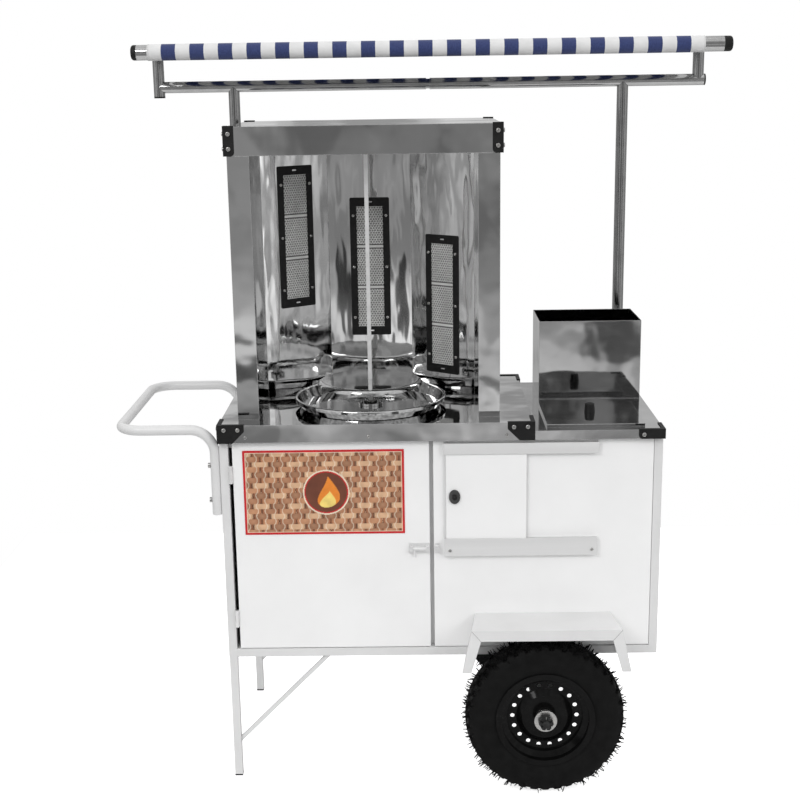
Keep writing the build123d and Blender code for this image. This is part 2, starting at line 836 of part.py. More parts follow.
# Folded fenders over the wheels, narrower at the cabinet, with a lip round the open front
fender_top = tyre_diameter + fender_clearance
fender_depth = wheel_offset + tyre_width / 2 + fender_front_gap
fender_bottom = fender_top - fender_height
with BuildPart() as wheel_fenders:
    for face_y, outward in ((cabinet_front, -1), (panel_rear, 1)):
        for depth, inset in ((fender_depth, 0), (fender_depth - fender_sheet, fender_sheet)):
            for reach in (0, depth):
                half_top = fender_top_width / 2 - fender_taper * (1 - reach / fender_depth) - inset
                half_foot = half_top + fender_flare
                section_foot = (wheel_x, face_y + outward * reach, fender_bottom)
                with BuildSketch(Plane(section_foot, x_dir=(1, 0, 0), z_dir=(0, -1, 0))):
                    with BuildLine():
                        Polyline(
                            (half_foot, 0),
                            (half_top, fender_height - inset),
                            (-half_top, fender_height - inset),
                            (-half_foot, 0),
                            close=True,
                        )
                    make_face()
            loft(ruled=True, mode=Mode.SUBTRACT if inset else Mode.ADD)
        half_mouth = fender_top_width / 2 - fender_side_lip
        with BuildSketch(Plane((wheel_x, face_y, fender_bottom), x_dir=(1, 0, 0), z_dir=(0, -1, 0))):
            with BuildLine():
                Polyline(
                    (half_mouth + fender_flare, 0),
                    (half_mouth, fender_height - fender_lip),
                    (-half_mouth, fender_height - fender_lip),
                    (-half_mouth - fender_flare, 0),
                    close=True,
                )
            make_face()
        extrude(amount=-outward * fender_depth, mode=Mode.SUBTRACT)
keep(wheel_fenders, "wheel_fenders")

# Machine base and worktop
with BuildPart() as machine_base:
    base_y = (base_front, cabinet_rear)
    shell((cabinet_left, base_right), base_y, (frame_top, base_top), stainless_sheet, "-z")
keep(machine_base, "machine_base")

lid_x = (worktop_left + lid_side_margin, cabinet_right - lid_right_margin)
lid_y = (base_front + lid_front_margin, base_front + lid_front_margin + lid_depth)
pan_x_mid = (lid_x[0] + lid_x[1]) / 2
pan_y_mid = (lid_y[0] + lid_y[1]) / 2
pan_half_x = (lid_x[1] - lid_x[0]) / 2 - pan_flange_margin - pan_flange_width
pan_x = (pan_x_mid - pan_half_x, pan_x_mid + pan_half_x)
pan_y = (pan_y_mid - pan_length_y / 2, pan_y_mid + pan_length_y / 2)

with BuildPart() as worktop:
    shell((worktop_left, cabinet_right), base_y, (frame_top, worktop_top), stainless_sheet, "-z")
    cut_x = (pan_x[0] - pan_cut_clearance, pan_x[1] + pan_cut_clearance)
    cut_y = (pan_y[0] - pan_cut_clearance, pan_y[1] + pan_cut_clearance)
    span_box(cut_x, cut_y, (frame_top, worktop_top), mode=Mode.SUBTRACT)
keep(worktop, "worktop")

with BuildPart() as food_pan:
    flange_x = (pan_x[0] - pan_flange_width, pan_x[1] + pan_flange_width)
    flange_y = (pan_y[0] - pan_flange_width, pan_y[1] + pan_flange_width)
    pan_z = (worktop_top - pan_depth, worktop_top + pan_sheet)
    span_box(flange_x, flange_y, (worktop_top, worktop_top + pan_sheet))
    shell(pan_x, pan_y, pan_z, pan_sheet, "+z")
keep(food_pan, "food_pan")

lid_top = worktop_top + lid_lift + lid_height
with BuildPart() as pan_lid:
    shell(lid_x, lid_y, (worktop_top + lid_lift, lid_top), stainless_sheet, "-z")
keep(pan_lid, "pan_lid")

with BuildPart() as lid_knob:
    with Locations((pan_x_mid, pan_y_mid, lid_top)):
        Cone(
            knob_base_diameter / 2,
            knob_top_diameter / 2,
            knob_height,
            align=(Align.CENTER, Align.CENTER, Align.MIN),
        )
    fillet(lid_knob.edges().group_by(Axis.Z)[-1], knob_edge_radius)
keep(lid_knob, "lid_knob")

bin_x = (worktop_left + bin_left_margin, cabinet_right - bracket_lip_width - bin_side_gap)
bin_y = (lid_y[1] + bin_gap, cabinet_rear - bin_rear_margin)
with BuildPart() as serving_bin:
    shell(bin_x, bin_y, (worktop_top, worktop_top + bin_height), stainless_sheet, "+z")
keep(serving_bin, "serving_bin")

# Roasting machine: columns, hood, reflectors and rear cover
column_outer = machine_width / 2 - column_inset
column_inner = column_outer - column_width
column_rear = machine_front + column_depth
reflector_y = column_rear + reflector_depth
chamber_z = (base_top, hood_bottom)
column_x = (
    (machine_x - column_outer, machine_x - column_inner),
    (machine_x + column_inner, machine_x + column_outer),
)

with BuildPart() as machine_columns:
    for x in column_x:
        span_box(x, (machine_front, column_rear), chamber_z)
        bore_x = (x[0] + stainless_sheet, x[1] - stainless_sheet)
        bore_y = (machine_front + stainless_sheet, column_rear - stainless_sheet)
        span_box(bore_x, bore_y, chamber_z, mode=Mode.SUBTRACT)
keep(machine_columns, "machine_columns")

hood_x = (machine_x - machine_width / 2, machine_x + machine_width / 2)
hood_y = (machine_front, machine_rear)
hood_floor_z = (hood_bottom, hood_bottom + stainless_sheet)
with BuildPart() as machine_hood:
    shell(hood_x, hood_y, (hood_bottom, hood_top), stainless_sheet, "-z")
    inset = stainless_sheet + weld_gap
    span_box((hood_x[0] + inset, hood_x[1] - inset), (hood_y[0] + inset, hood_y[1] - inset), hood_floor_z)
    hole_bottom = (machine_x, spit_y, hood_floor_z[0])
    rod(hole_bottom, (machine_x, spit_y, hood_floor_z[1]), hood_hole_diameter, mode=Mode.SUBTRACT)
keep(machine_hood, "machine_hood")

side_reach_x = column_inner - centre_panel_width / 2
side_panel_width = hypot(side_reach_x, reflector_depth)
side_cos = side_reach_x / side_panel_width
side_sin = reflector_depth / side_panel_width
side_mid_x = (column_inner + centre_panel_width / 2) / 2
side_mid_y = column_rear + reflector_depth / 2


def reflector_plane(side, height):
    """Plane on a reflector's face: side is -1 for the left, 0 for the centre and 1 for the right one."""
    if side == 0:
        return Plane((machine_x, reflector_y, height), x_dir=(1, 0, 0), z_dir=(0, -1, 0))
    middle = (machine_x + side * side_mid_x, side_mid_y, height)
    return Plane(middle, x_dir=(side_cos, -side * side_sin, 0), z_dir=(-side * side_sin, -side_cos, 0))


chamber_mid_z = base_top + chamber_height / 2
burner_rises = {-1: burner_left_rise, 0: burner_centre_rise, 1: -burner_right_drop}
burner_planes = {side: reflector_plane(side, chamber_mid_z + rise) for side, rise in burner_rises.items()}
tile_stack_height = 3 * tile_height + 2 * tile_gap
burner_cut_width = tile_width + 2 * burner_cut_clearance
burner_cut_height = tile_stack_height + 2 * burner_cut_clearance

with BuildPart() as centre_reflector:
    with BuildSketch(reflector_plane(0, chamber_mid_z)):
        Rectangle(centre_panel_width - panel_joint_gap, chamber_height)
    extrude(amount=-stainless_sheet)
    with BuildSketch(burner_planes[0]):
        Rectangle(burner_cut_width, burner_cut_height)
    extrude(amount=-stainless_sheet, mode=Mode.SUBTRACT)
keep(centre_reflector, "centre_reflector")

with BuildPart() as side_reflectors:
    for side in (-1, 1):
        with BuildSketch(reflector_plane(side, chamber_mid_z)):
            Rectangle(side_panel_width - 2 * panel_joint_gap, chamber_height)
        extrude(amount=-stainless_sheet)
        with BuildSketch(burner_planes[side]):
            Rectangle(burner_cut_width, burner_cut_height)
        extrude(amount=-stainless_sheet, mode=Mode.SUBTRACT)
keep(side_reflectors, "side_reflectors")

# Burners
with BuildPart() as burner_frames:
    for plane in burner_planes.values():
        with BuildSketch(plane):
            RectangleRounded(burner_frame_width, burner_frame_height, burner_frame_corner)
            Rectangle(burner_window_width, burner_window_height, mode=Mode.SUBTRACT)
            slot_spacing = (burner_frame_height + burner_window_height) / 2
            with GridLocations(burner_slot_width, slot_spacing, 1, 2):
                Rectangle(burner_slot_width, burner_slot_height, mode=Mode.SUBTRACT)
        extrude(amount=burner_frame_sheet)
keep(burner_frames, "burner_frames")

with BuildPart() as burner_tiles:
    for plane in burner_planes.values():
        with BuildSketch(plane):
            with GridLocations(tile_width, tile_height + tile_gap, 1, 3):
                Rectangle(tile_width, tile_height)
        extrude(amount=-tile_thickness)
keep(burner_tiles, "burner_tiles")

body_width = burner_cut_width + 2 * burner_body_margin
body_height = burner_cut_height + 2 * burner_body_margin
with BuildPart() as burner_bodies:
    for plane in burner_planes.values():
        back = plane.offset(-stainless_sheet)
        with BuildSketch(back):
            Rectangle(body_width, body_height)
        extrude(amount=-burner_body_depth)
        with BuildSketch(back):
            Rectangle(body_width - 2 * burner_body_sheet, body_height - 2 * burner_body_sheet)
        extrude(amount=burner_body_sheet - burner_body_depth, mode=Mode.SUBTRACT)
keep(burner_bodies, "burner_bodies")

# Gas pipes behind the reflectors, with valve stems through the rear cover
manifold_y = machine_rear - manifold_setback
manifold_z = base_top + manifold_height
body_feet = {}
for side, plane in burner_planes.items():
    foot = plane.offset(-stainless_sheet - burner_body_depth / 2).origin
    body_feet[side] = (foot.X, foot.Y, foot.Z - body_height / 2)
valve_x = {side: foot[0] for side, foot in body_feet.items()}
manifold_end = valve_x[1] + manifold_overrun
stem_tip = machine_rear + stem_reach

with BuildPart() as gas_manifold:
    pipe_start = (valve_x[-1], manifold_y, manifold_z)
    rod(pipe_start, (manifold_end, manifold_y, manifold_z), manifold_pipe_diameter)
    for foot_x, foot_y, foot_z in body_feet.values():
        valve = (foot_x, manifold_y, manifold_z)
        with Locations(valve):
            Box(valve_size, valve_size, valve_size)
        rod(valve, (foot_x, stem_tip, manifold_z), stem_diameter)
        with BuildLine() as riser:
            valve_face = manifold_y - valve_size / 2
            corner = (foot_x, foot_y, manifold_z)
            FilletPolyline((foot_x, valve_face, manifold_z), corner, (foot_x, foot_y, foot_z), radius=riser_bend)
        with BuildSketch(Plane((foot_x, valve_face, manifold_z), z_dir=(0, -1, 0))):
            Circle(riser_diameter / 2)
            Circle(riser_diameter / 2 - riser_wall, mode=Mode.SUBTRACT)
        sweep(path=riser.line)
    inlet_start = (manifold_end, manifold_y, manifold_z)
    with Locations(inlet_start):
        Sphere(manifold_pipe_diameter / 2)
    inlet_end = (manifold_end, machine_rear + inlet_reach, manifold_z)
    rod(inlet_start, inlet_end, inlet_diameter)
    rod(inlet_end, (manifold_end, inlet_end[1] + nipple_length, manifold_z), nipple_diameter)
keep(gas_manifold, "gas_manifold")

with BuildPart() as rear_cover:
    cover_x = (machine_x - column_outer, machine_x + column_outer)
    span_box(cover_x, (column_rear, machine_rear), chamber_z)
    cavity_x = (cover_x[0] + stainless_sheet, cover_x[1] - stainless_sheet)
    span_box(cavity_x, (column_rear, machine_rear - stainless_sheet), chamber_z, mode=Mode.SUBTRACT)
    pipe_holes = [(x, stem_diameter) for x in valve_x.values()] + [(manifold_end, inlet_diameter)]
    for x, diameter in pipe_holes:
        cover_inside = (x, machine_rear - stainless_sheet, manifold_z)
        hole = diameter + 2 * stem_hole_clearance
        rod(cover_inside, (x, machine_rear, manifold_z), hole, mode=Mode.SUBTRACT)
keep(rear_cover, "rear_cover")

for side, name in ((-1, "left"), (0, "centre"), (1, "right")):
    with BuildPart() as valve_knob:
        knob_face = (valve_x[side], machine_rear + valve_knob_gap, manifold_z)
        with Locations(Plane(knob_face, x_dir=(1, 0, 0), z_dir=(0, 1, 0))):
            from_face = (Align.CENTER, Align.CENTER, Align.MIN)
            Cylinder(valve_knob_diameter / 2, valve_knob_height, align=from_face)
            with Locations((0, 0, valve_knob_height)):
                Box(valve_grip_width, valve_grip_length, valve_grip_height, align=from_face)
            bore = stem_diameter / 2 + pivot_clearance
            Cylinder(bore, stem_reach + valve_knob_gap, align=from_face, mode=Mode.SUBTRACT)
    keep(valve_knob, f"valve_knob_{name}")

# Spit, bearing, drip tray and drive
spit_axis = Axis((machine_x, spit_y, 0), (0, 0, 1))
spit_section = Plane((machine_x, spit_y, base_top), x_dir=(1, 0, 0), z_dir=(0, -1, 0))
rod_shoulder = base_top + bearing_height + rod_seat_gap
pivot_low = base_top + bearing_floor + rod_seat_gap
coupling_z = hood_floor_z[1] + coupling_lift
coupling_top = coupling_z + coupling_height
rod_top = coupling_z + coupling_socket_depth - rod_seat_gap

with BuildPart() as spit_bearing:
    rod((machine_x, spit_y, base_top), (machine_x, spit_y, base_top + bearing_height), bearing_diameter)
    socket_low = (machine_x, spit_y, base_top + bearing_floor)
    socket_high = (machine_x, spit_y, base_top + bearing_height)
    rod(socket_low, socket_high, rod_pivot_diameter + 2 * pivot_clearance, mode=Mode.SUBTRACT)
keep(spit_bearing, "spit_bearing")

with BuildPart() as spit_rod:
    half_rod = rod_size / 2
    span_box(
        (machine_x - half_rod, machine_x + half_rod),
        (spit_y - half_rod, spit_y + half_rod),
        (rod_shoulder, rod_top),
    )
    rod((machine_x, spit_y, pivot_low), (machine_x, spit_y, rod_shoulder), rod_pivot_diameter)
keep(spit_rod, "spit_rod")

with BuildPart() as spit_coupling:
    rod((machine_x, spit_y, coupling_z), (machine_x, spit_y, coupling_top), coupling_diameter)
    shaft_top = (machine_x, spit_y, coupling_top + coupling_shaft_length)
    rod((machine_x, spit_y, coupling_top), shaft_top, coupling_shaft_diameter)
    half_socket = rod_size / 2 + disc_hub_fit
    span_box(
        (machine_x - half_socket, machine_x + half_socket),
        (spit_y - half_socket, spit_y + half_socket),
        (coupling_z, coupling_z + coupling_socket_depth),
        mode=Mode.SUBTRACT,
    )
keep(spit_coupling, "spit_coupling")

with BuildPart() as spit_disc:
    with BuildSketch(spit_section):
        with BuildLine():
            plate_edge = spit_disc_flat / 2
            skirt_edge = spit_disc_diameter / 2
            skirt_foot = disc_height - spit_disc_drop
            Polyline(
                (0, disc_height - disc_hub_height),
                (disc_hub_diameter / 2, disc_height - disc_hub_height),
                (disc_hub_diameter / 2, disc_height),
                (plate_edge - spit_disc_sheet, disc_height),
                (skirt_edge - spit_disc_sheet, skirt_foot),
                (skirt_edge, skirt_foot),
                (plate_edge, disc_height + spit_disc_sheet),
                (0, disc_height + spit_disc_sheet),
                close=True,
            )
        make_face()
    revolve(axis=spit_axis)
    span_box(
        (machine_x - half_socket, machine_x + half_socket),
        (spit_y - half_socket, spit_y + half_socket),
        (base_top, base_top + disc_height + spit_disc_sheet),
        mode=Mode.SUBTRACT,
    )
keep(spit_disc, "spit_disc")

with BuildPart() as drip_tray:
    with BuildSketch(spit_section):
        with BuildLine():
            hole_radius = tray_hole_diameter / 2
            floor_radius = tray_floor_diameter / 2
            rim_radius = tray_diameter / 2
            Polyline(
                (hole_radius, 0),
                (floor_radius, 0),
                (rim_radius - tray_rim_width, tray_height - tray_sheet),
                (rim_radius - tray_sheet, tray_height - tray_sheet),
                (rim_radius - tray_sheet, tray_height - tray_lip),
                (rim_radius, tray_height - tray_lip),
                (rim_radius, tray_height),
                (rim_radius - tray_rim_width - tray_sheet, tray_height),
                (floor_radius - tray_sheet / 2, tray_sheet),
                (hole_radius + tray_sheet, tray_sheet),
                (hole_radius + tray_sheet, tray_collar_height),
                (hole_radius, tray_collar_height),
                close=True,
            )
        make_face()
    revolve(axis=spit_axis)
keep(drip_tray, "drip_tray")

gearbox_bottom = coupling_top + coupling_gap
with BuildPart() as spit_motor:
    with Locations((machine_x, spit_y, gearbox_bottom)):
        Box(gearbox_length, gearbox_width, gearbox_height, align=(Align.CENTER, Align.CENTER, Align.MIN))
    post_spread = (gearbox_length - 2 * gearbox_post_inset, gearbox_width - 2 * gearbox_post_inset)
    post_height = gearbox_bottom - hood_floor_z[1]
    with Locations((machine_x, spit_y, hood_floor_z[1])):
        with GridLocations(*post_spread, 2, 2):
            post_align = (Align.CENTER, Align.CENTER, Align.MIN)
            Cylinder(gearbox_post_diameter / 2, post_height, align=post_align)
    motor_z = gearbox_bottom + gearbox_height / 2
    motor_start = (machine_x + gearbox_length / 2, spit_y, motor_z)
    rod(motor_start, (motor_start[0] + motor_length, spit_y, motor_z), motor_diameter)
    bore_top = (machine_x, spit_y, gearbox_bottom + gearbox_height)
    shaft_bore = coupling_shaft_diameter + 2 * pivot_clearance
    rod((machine_x, spit_y, gearbox_bottom), bore_top, shaft_bore, mode=Mode.SUBTRACT)
keep(spit_motor, "spit_motor")

# Canopy
pole_x = (canopy_x - pole_spacing / 2, canopy_x + pole_spacing / 2)
pole_y = panel_rear + socket_diameter / 2
post_x = (canopy_x - end_post_spacing / 2, canopy_x + end_post_spacing / 2)
canopy_tube_bore = canopy_tube_diameter - 2 * canopy_tube_wall
saddle = canopy_tube_diameter + 2 * weld_gap
roller_y = (pole_y - canopy_depth / 2, pole_y + canopy_depth / 2)
roller_z = (canopy_height, canopy_height + canopy_rise)
post_top = canopy_height + canopy_rise / 2
fabric_x = canopy_x - fabric_shift
roller_left = fabric_x - fabric_width / 2 - left_overrun
roller_right = fabric_x + fabric_width / 2 + right_overrun
bar_ends = ((post_x[0], pole_y, cross_bar_z), (post_x[1] + right_bar_overrun, pole_y, cross_bar_z))

with BuildPart() as pole_sockets:
    for x in pole_x:
        socket_low = (x, pole_y, pole_bottom_z - socket_floor)
        socket_high = (x, pole_y, pole_bottom_z + socket_length)
        rod(socket_low, socket_high, socket_diameter)
        pole_seat = (x, pole_y, pole_bottom_z)
        rod(pole_seat, socket_high, canopy_tube_diameter + 2 * socket_clearance, mode=Mode.SUBTRACT)
keep(pole_sockets, "pole_sockets")

with BuildPart() as canopy_poles:
    for x in pole_x:
        pole_foot = (x, pole_y, pole_bottom_z)
        round_tube(pole_foot, (x, pole_y, cross_bar_z), canopy_tube_diameter, canopy_tube_wall)
    rod(*bar_ends, saddle, mode=Mode.SUBTRACT)
keep(canopy_poles, "canopy_poles")

with BuildPart() as canopy_cross_bars:
    left_end = (canopy_x - spigot_show / 2, pole_y, cross_bar_z)
    right_end = (canopy_x + spigot_show / 2, pole_y, cross_bar_z)
    round_tube(bar_ends[0], left_end, canopy_tube_diameter, canopy_tube_wall)
    post_low = (post_x[0], pole_y, cross_bar_z - left_post_drop)
    rod(post_low, (post_x[0], pole_y, post_top), saddle, mode=Mode.SUBTRACT)
    round_tube(right_end, bar_ends[1], canopy_tube_diameter, canopy_tube_wall)
    spigot_start = (left_end[0] - spigot_reach, pole_y, cross_bar_z)
    spigot_end = (right_end[0] + spigot_reach, pole_y, cross_bar_z)
    round_tube(spigot_start, spigot_end, spigot_diameter, canopy_tube_wall)
keep(canopy_cross_bars, "canopy_cross_bars")

rail_reach = roller_diameter / 2 + weld_gap
with BuildPart() as canopy_end_posts:
    left_foot = (post_x[0], pole_y, cross_bar_z - left_post_drop)
    right_foot = (post_x[1], pole_y, cross_bar_z)
    for foot in (left_foot, right_foot):
        round_tube(foot, (foot[0], pole_y, post_top), canopy_tube_diameter, canopy_tube_wall)
        rail_start = (foot[0], roller_y[0], roller_z[0])
        rod(rail_start, (foot[0], roller_y[1], roller_z[1]), saddle, mode=Mode.SUBTRACT)
    rod((canopy_x, pole_y, cross_bar_z), bar_ends[1], saddle, mode=Mode.SUBTRACT)
keep(canopy_end_posts, "canopy_end_posts")

with BuildPart() as canopy_side_rails:
    for x in post_x:
        rail_start = (x, roller_y[0], roller_z[0])
        round_tube(rail_start, (x, roller_y[1], roller_z[1]), canopy_tube_diameter, canopy_tube_wall)
    for y, z in zip(roller_y, roller_z):
        cut_start = (post_x[0] - canopy_tube_diameter, y, z)
        cut_end = (post_x[1] + canopy_tube_diameter, y, z)
        rod(cut_start, cut_end, 2 * rail_reach, mode=Mode.SUBTRACT)
keep(canopy_side_rails, "canopy_side_rails")

with BuildPart() as canopy_tubes:
    for y, z in zip(roller_y, roller_z):
        round_tube((roller_left, y, z), (roller_right, y, z), roller_diameter, roller_wall)
keep(canopy_tubes, "canopy_tubes")

fabric_bore = roller_diameter / 2 + fabric_gap
fabric_outer = fabric_bore + fabric_sheet
canopy_span = hypot(canopy_depth, canopy_rise)
canopy_slope = Plane((fabric_x, pole_y, post_top), x_dir=(0, canopy_depth, canopy_rise), z_dir=(1, 0, 0))
with BuildPart() as canopy_fabric:
    with BuildSketch(canopy_slope):
        with Locations((0, fabric_bore + fabric_sheet / 2)):
            Rectangle(canopy_span, fabric_sheet)
        with Locations((-canopy_span / 2, 0), (canopy_span / 2, 0)):
            Circle(fabric_outer)
        with Locations((-canopy_span / 2, 0), (canopy_span / 2, 0)):
            Circle(fabric_bore, mode=Mode.SUBTRACT)
    extrude(amount=fabric_width / 2, both=True)
keep(canopy_fabric, "canopy_fabric")

# Plastic plugs and caps
with BuildPart() as tube_plugs:
    stub = tube_size - 2 * tube_wall - 2 * plug_clearance
    from_below = (Align.CENTER, Align.CENTER, Align.MIN)
    for y in leg_y:
        with Locations((cabinet_left + tube_size / 2, y, 0)):
            Box(tube_size, tube_size, foot_height, align=from_below)
            Box(stub, stub, foot_height + plug_stub, align=from_below)
    post_stub = canopy_tube_bore - 2 * plug_clearance
    left_plug = (post_x[0], pole_y, cross_bar_z - left_post_drop - foot_height)
    left_seat = (post_x[0], pole_y, cross_bar_z - left_post_drop)
    rod(left_plug, left_seat, canopy_tube_diameter)
    rod(left_plug, (post_x[0], pole_y, left_seat[2] + plug_stub), post_stub)
    bar_plug = (bar_ends[1][0] + foot_height, pole_y, cross_bar_z)
    rod(bar_ends[1], bar_plug, canopy_tube_diameter)
    rod((bar_ends[1][0] - plug_stub, pole_y, cross_bar_z), bar_plug, post_stub)
    roller_stub = roller_diameter - 2 * roller_wall - 2 * plug_clearance
    roller_caps = ((roller_left, -left_cap_length, plug_stub), (roller_right, right_cap_length, -plug_stub))
    for y, z in zip(roller_y, roller_z):
        for end, cap, stub_reach in roller_caps:
            rod((end, y, z), (end + cap, y, z), roller_diameter)
            rod((end + stub_reach, y, z), (end, y, z), roller_stub)
    for outermost in (0, -1):
        cap_rims = tube_plugs.edges().filter_by(GeomType.CIRCLE).group_by(Axis.X)[outermost]
        fillet(cap_rims, cap_round)
keep(tube_plugs, "tube_plugs")


# Black corner brackets, drawn for the left front corner with the corner of the sheet box at the origin
def corner_bracket(width, height, low_corner, rounded):
    """Two legs and a narrow top lip; the lower inner corner of each leg is cut off or rounded."""
    with BuildPart() as bracket:
        span_box((-bracket_sheet, width), (-bracket_sheet, 0), (-height, bracket_lip_sheet))
        span_box((-bracket_sheet, 0), (-bracket_sheet, width), (-height, bracket_lip_sheet))
        ends = bracket.edges().filter_by(Axis.Y).group_by(Axis.X)[-1].sort_by(Axis.Z)[:1]
        ends += bracket.edges().filter_by(Axis.X).group_by(Axis.Y)[-1].sort_by(Axis.Z)[:1]
        if rounded:
            fillet(ends, low_corner)
        else:
            chamfer(ends, low_corner)
        span_box((-bracket_sheet, width), (-bracket_sheet, bracket_lip_width), (0, bracket_lip_sheet))
        span_box((-bracket_sheet, bracket_lip_width), (-bracket_sheet, width), (0, bracket_lip_sheet))
    return bracket.part


def four_ways(bracket):
    """The same bracket for each corner, keyed by the signs of its outward X and Y directions."""
    right = mirror(bracket, about=Plane.YZ)
    return {
        (-1, -1): bracket,
        (1, -1): right,
        (-1, 1): mirror(bracket, about=Plane.XZ),
        (1, 1): mirror(right, about=Plane.XZ),
    }


base_bracket_height = base_height - bracket_bottom_gap
worktop_bracket_height = worktop_height - bracket_bottom_gap
base_brackets = four_ways(corner_bracket(base_bracket_width, base_bracket_height, base_bracket_chamfer, False))
worktop_brackets = four_ways(
    corner_bracket(worktop_bracket_width, worktop_bracket_height, worktop_bracket_round, True)
)
hood_brackets = four_ways(corner_bracket(hood_bracket_width, hood_height, hood_bracket_round, True))

both_sides = (-1, 1)
base_corner = {-1: cabinet_left, 1: base_right}
base_edge = {-1: base_front, 1: cabinet_rear}
hood_corner = {-1: hood_x[0], 1: hood_x[1]}
hood_edge = {-1: hood_y[0], 1: hood_y[1]}

with BuildPart() as corner_brackets:
    for side_y in both_sides:
        for side_x in both_sides:
            with Locations((base_corner[side_x], base_edge[side_y], base_top)):
                add(base_brackets[side_x, side_y])
            with Locations((hood_corner[side_x], hood_edge[side_y], hood_top)):
                add(hood_brackets[side_x, side_y])
        with Locations((cabinet_right, base_edge[side_y], worktop_top)):
            add(worktop_brackets[1, side_y])
keep(corner_brackets, "corner_brackets")


# Screws, bolts, washers, nuts and pins
def dome_head(diameter, height, edge_round, socket):
    """Domed screw head standing on the XY plane, with a small round socket."""
    with BuildPart() as head:
        Cylinder(diameter / 2, height, align=(Align.CENTER, Align.CENTER, Align.MIN))
        fillet(head.edges().group_by(Axis.Z)[-1], edge_round)
        with Locations((0, 0, height)):
            Cylinder(socket / 2, height, mode=Mode.SUBTRACT)
    return head.part


screw = dome_head(screw_head_diameter, screw_head_height, screw_head_round, screw_socket_diameter)
small_screw = dome_head(small_screw_diameter, small_screw_height, small_screw_round, small_socket_diameter)
screw_places = []
small_screw_places = []


def facing_y(corner, outward, inset, drop):
    """Screw place on a bracket's front or rear leg, measured inward and down from its corner."""
    place = (corner[0] - outward[0] * inset, corner[1] + outward[1] * bracket_sheet, corner[2] - drop)
    return Plane(place, z_dir=(0, outward[1], 0))


def facing_x(corner, outward, inset, drop):
    """Screw place on a bracket's side leg, measured inward and down from its corner."""
    place = (corner[0] + outward[0] * bracket_sheet, corner[1] - outward[1] * inset, corner[2] - drop)
    return Plane(place, z_dir=(outward[0], 0, 0))


for side_x in both_sides:
    front_corner = (base_corner[side_x], base_front, base_top)
    for inset in base_screw_insets:
        screw_places.append(facing_y(front_corner, (side_x, -1), inset, base_screw_drop))
    for side_y in both_sides:
        corner = (hood_corner[side_x], hood_edge[side_y], hood_top)
        for drop in hood_screw_drops:
            screw_places.append(facing_y(corner, (side_x, side_y), hood_screw_inset, drop))
            screw_places.append(facing_x(corner, (side_x, side_y), hood_screw_inset, drop))
for side_y in both_sides:
    left_corner = (cabinet_left, base_edge[side_y], base_top)
    right_corner = (cabinet_right, base_edge[side_y], worktop_top)
    for inset in base_screw_insets:
        screw_places.append(facing_x(left_corner, (-1, side_y), inset, base_screw_drop))
    screw_places.append(facing_x(right_corner, (1, side_y), worktop_screw_inset, worktop_screw_drop))
worktop_corner = (cabinet_right, base_front, worktop_top)
screw_places.append(facing_y(worktop_corner, (1, -1), worktop_screw_inset, worktop_screw_drop))

apron_x = (cabinet_left + apron_screw_inset, machine_x, base_right - apron_screw_inset)
for x in apron_x:
    small_screw_places.append(Plane((x, base_front, frame_top + apron_screw_height), z_dir=(0, -1, 0)))
for x in (track_x[0] + track_screw_inset, track_x[1] - track_screw_inset):
    track_screw = (x, track_y[0], bottom_track_z[0] + track_screw_height)
    small_screw_places.append(Plane(track_screw, z_dir=(0, -1, 0)))
for plane in burner_planes.values():
    across = burner_frame_width / 2 - burner_screw_inset
    for u, v in [(side * across, level * burner_screw_rise) for side in both_sides for level in (-1, 0, 1)]:
        on_frame = plane.from_local_coords((u, v, burner_frame_sheet))
        small_screw_places.append(Plane(on_frame, z_dir=plane.z_dir))

with BuildPart() as fasteners:
    with Locations(*screw_places):
        add(screw)
    with Locations(*small_screw_places):
        add(small_screw)
    for y in leg_y:
        for z in handle_bolt_z:
            seat = (handle_outer_x, y, z)
            rod((handle_outer_x - handle_bolt_head_height, y, z), seat, handle_bolt_head)
            rod(seat, (cabinet_left + handle_bolt_reach, y, z), handle_bolt_diameter)
    for mid_y, outward in zip(wheel_y, both_sides):
        for start in (-hub_inner - wheel_side_clearance - washer_thickness, hub_outer + wheel_side_clearance):
            near = (wheel_x, mid_y + outward * start, axle_z)
            far = (wheel_x, mid_y + outward * (start + washer_thickness), axle_z)
            rod(near, far, washer_diameter)
            rod(near, far, axle_hole, mode=Mode.SUBTRACT)
        pin_y = mid_y + outward * cotter_out
        pin_ends = ((wheel_x, pin_y, axle_z - cotter_length / 2), (wheel_x, pin_y, axle_z + cotter_length / 2))
        rod(*pin_ends, cotter_diameter)
    for x in pole_x:
        clamp_z = pole_bottom_z + socket_length - clamp_screw_drop
        socket_face = pole_y + socket_diameter / 2
        rod((x, socket_face, clamp_z), (x, socket_face + clamp_screw_length, clamp_z), handle_bolt_head)
keep(fasteners, "fasteners")
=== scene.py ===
from math import cos, hypot, pi, radians, sin, sqrt
from random import Random

import bpy
from mathutils import Matrix, Vector


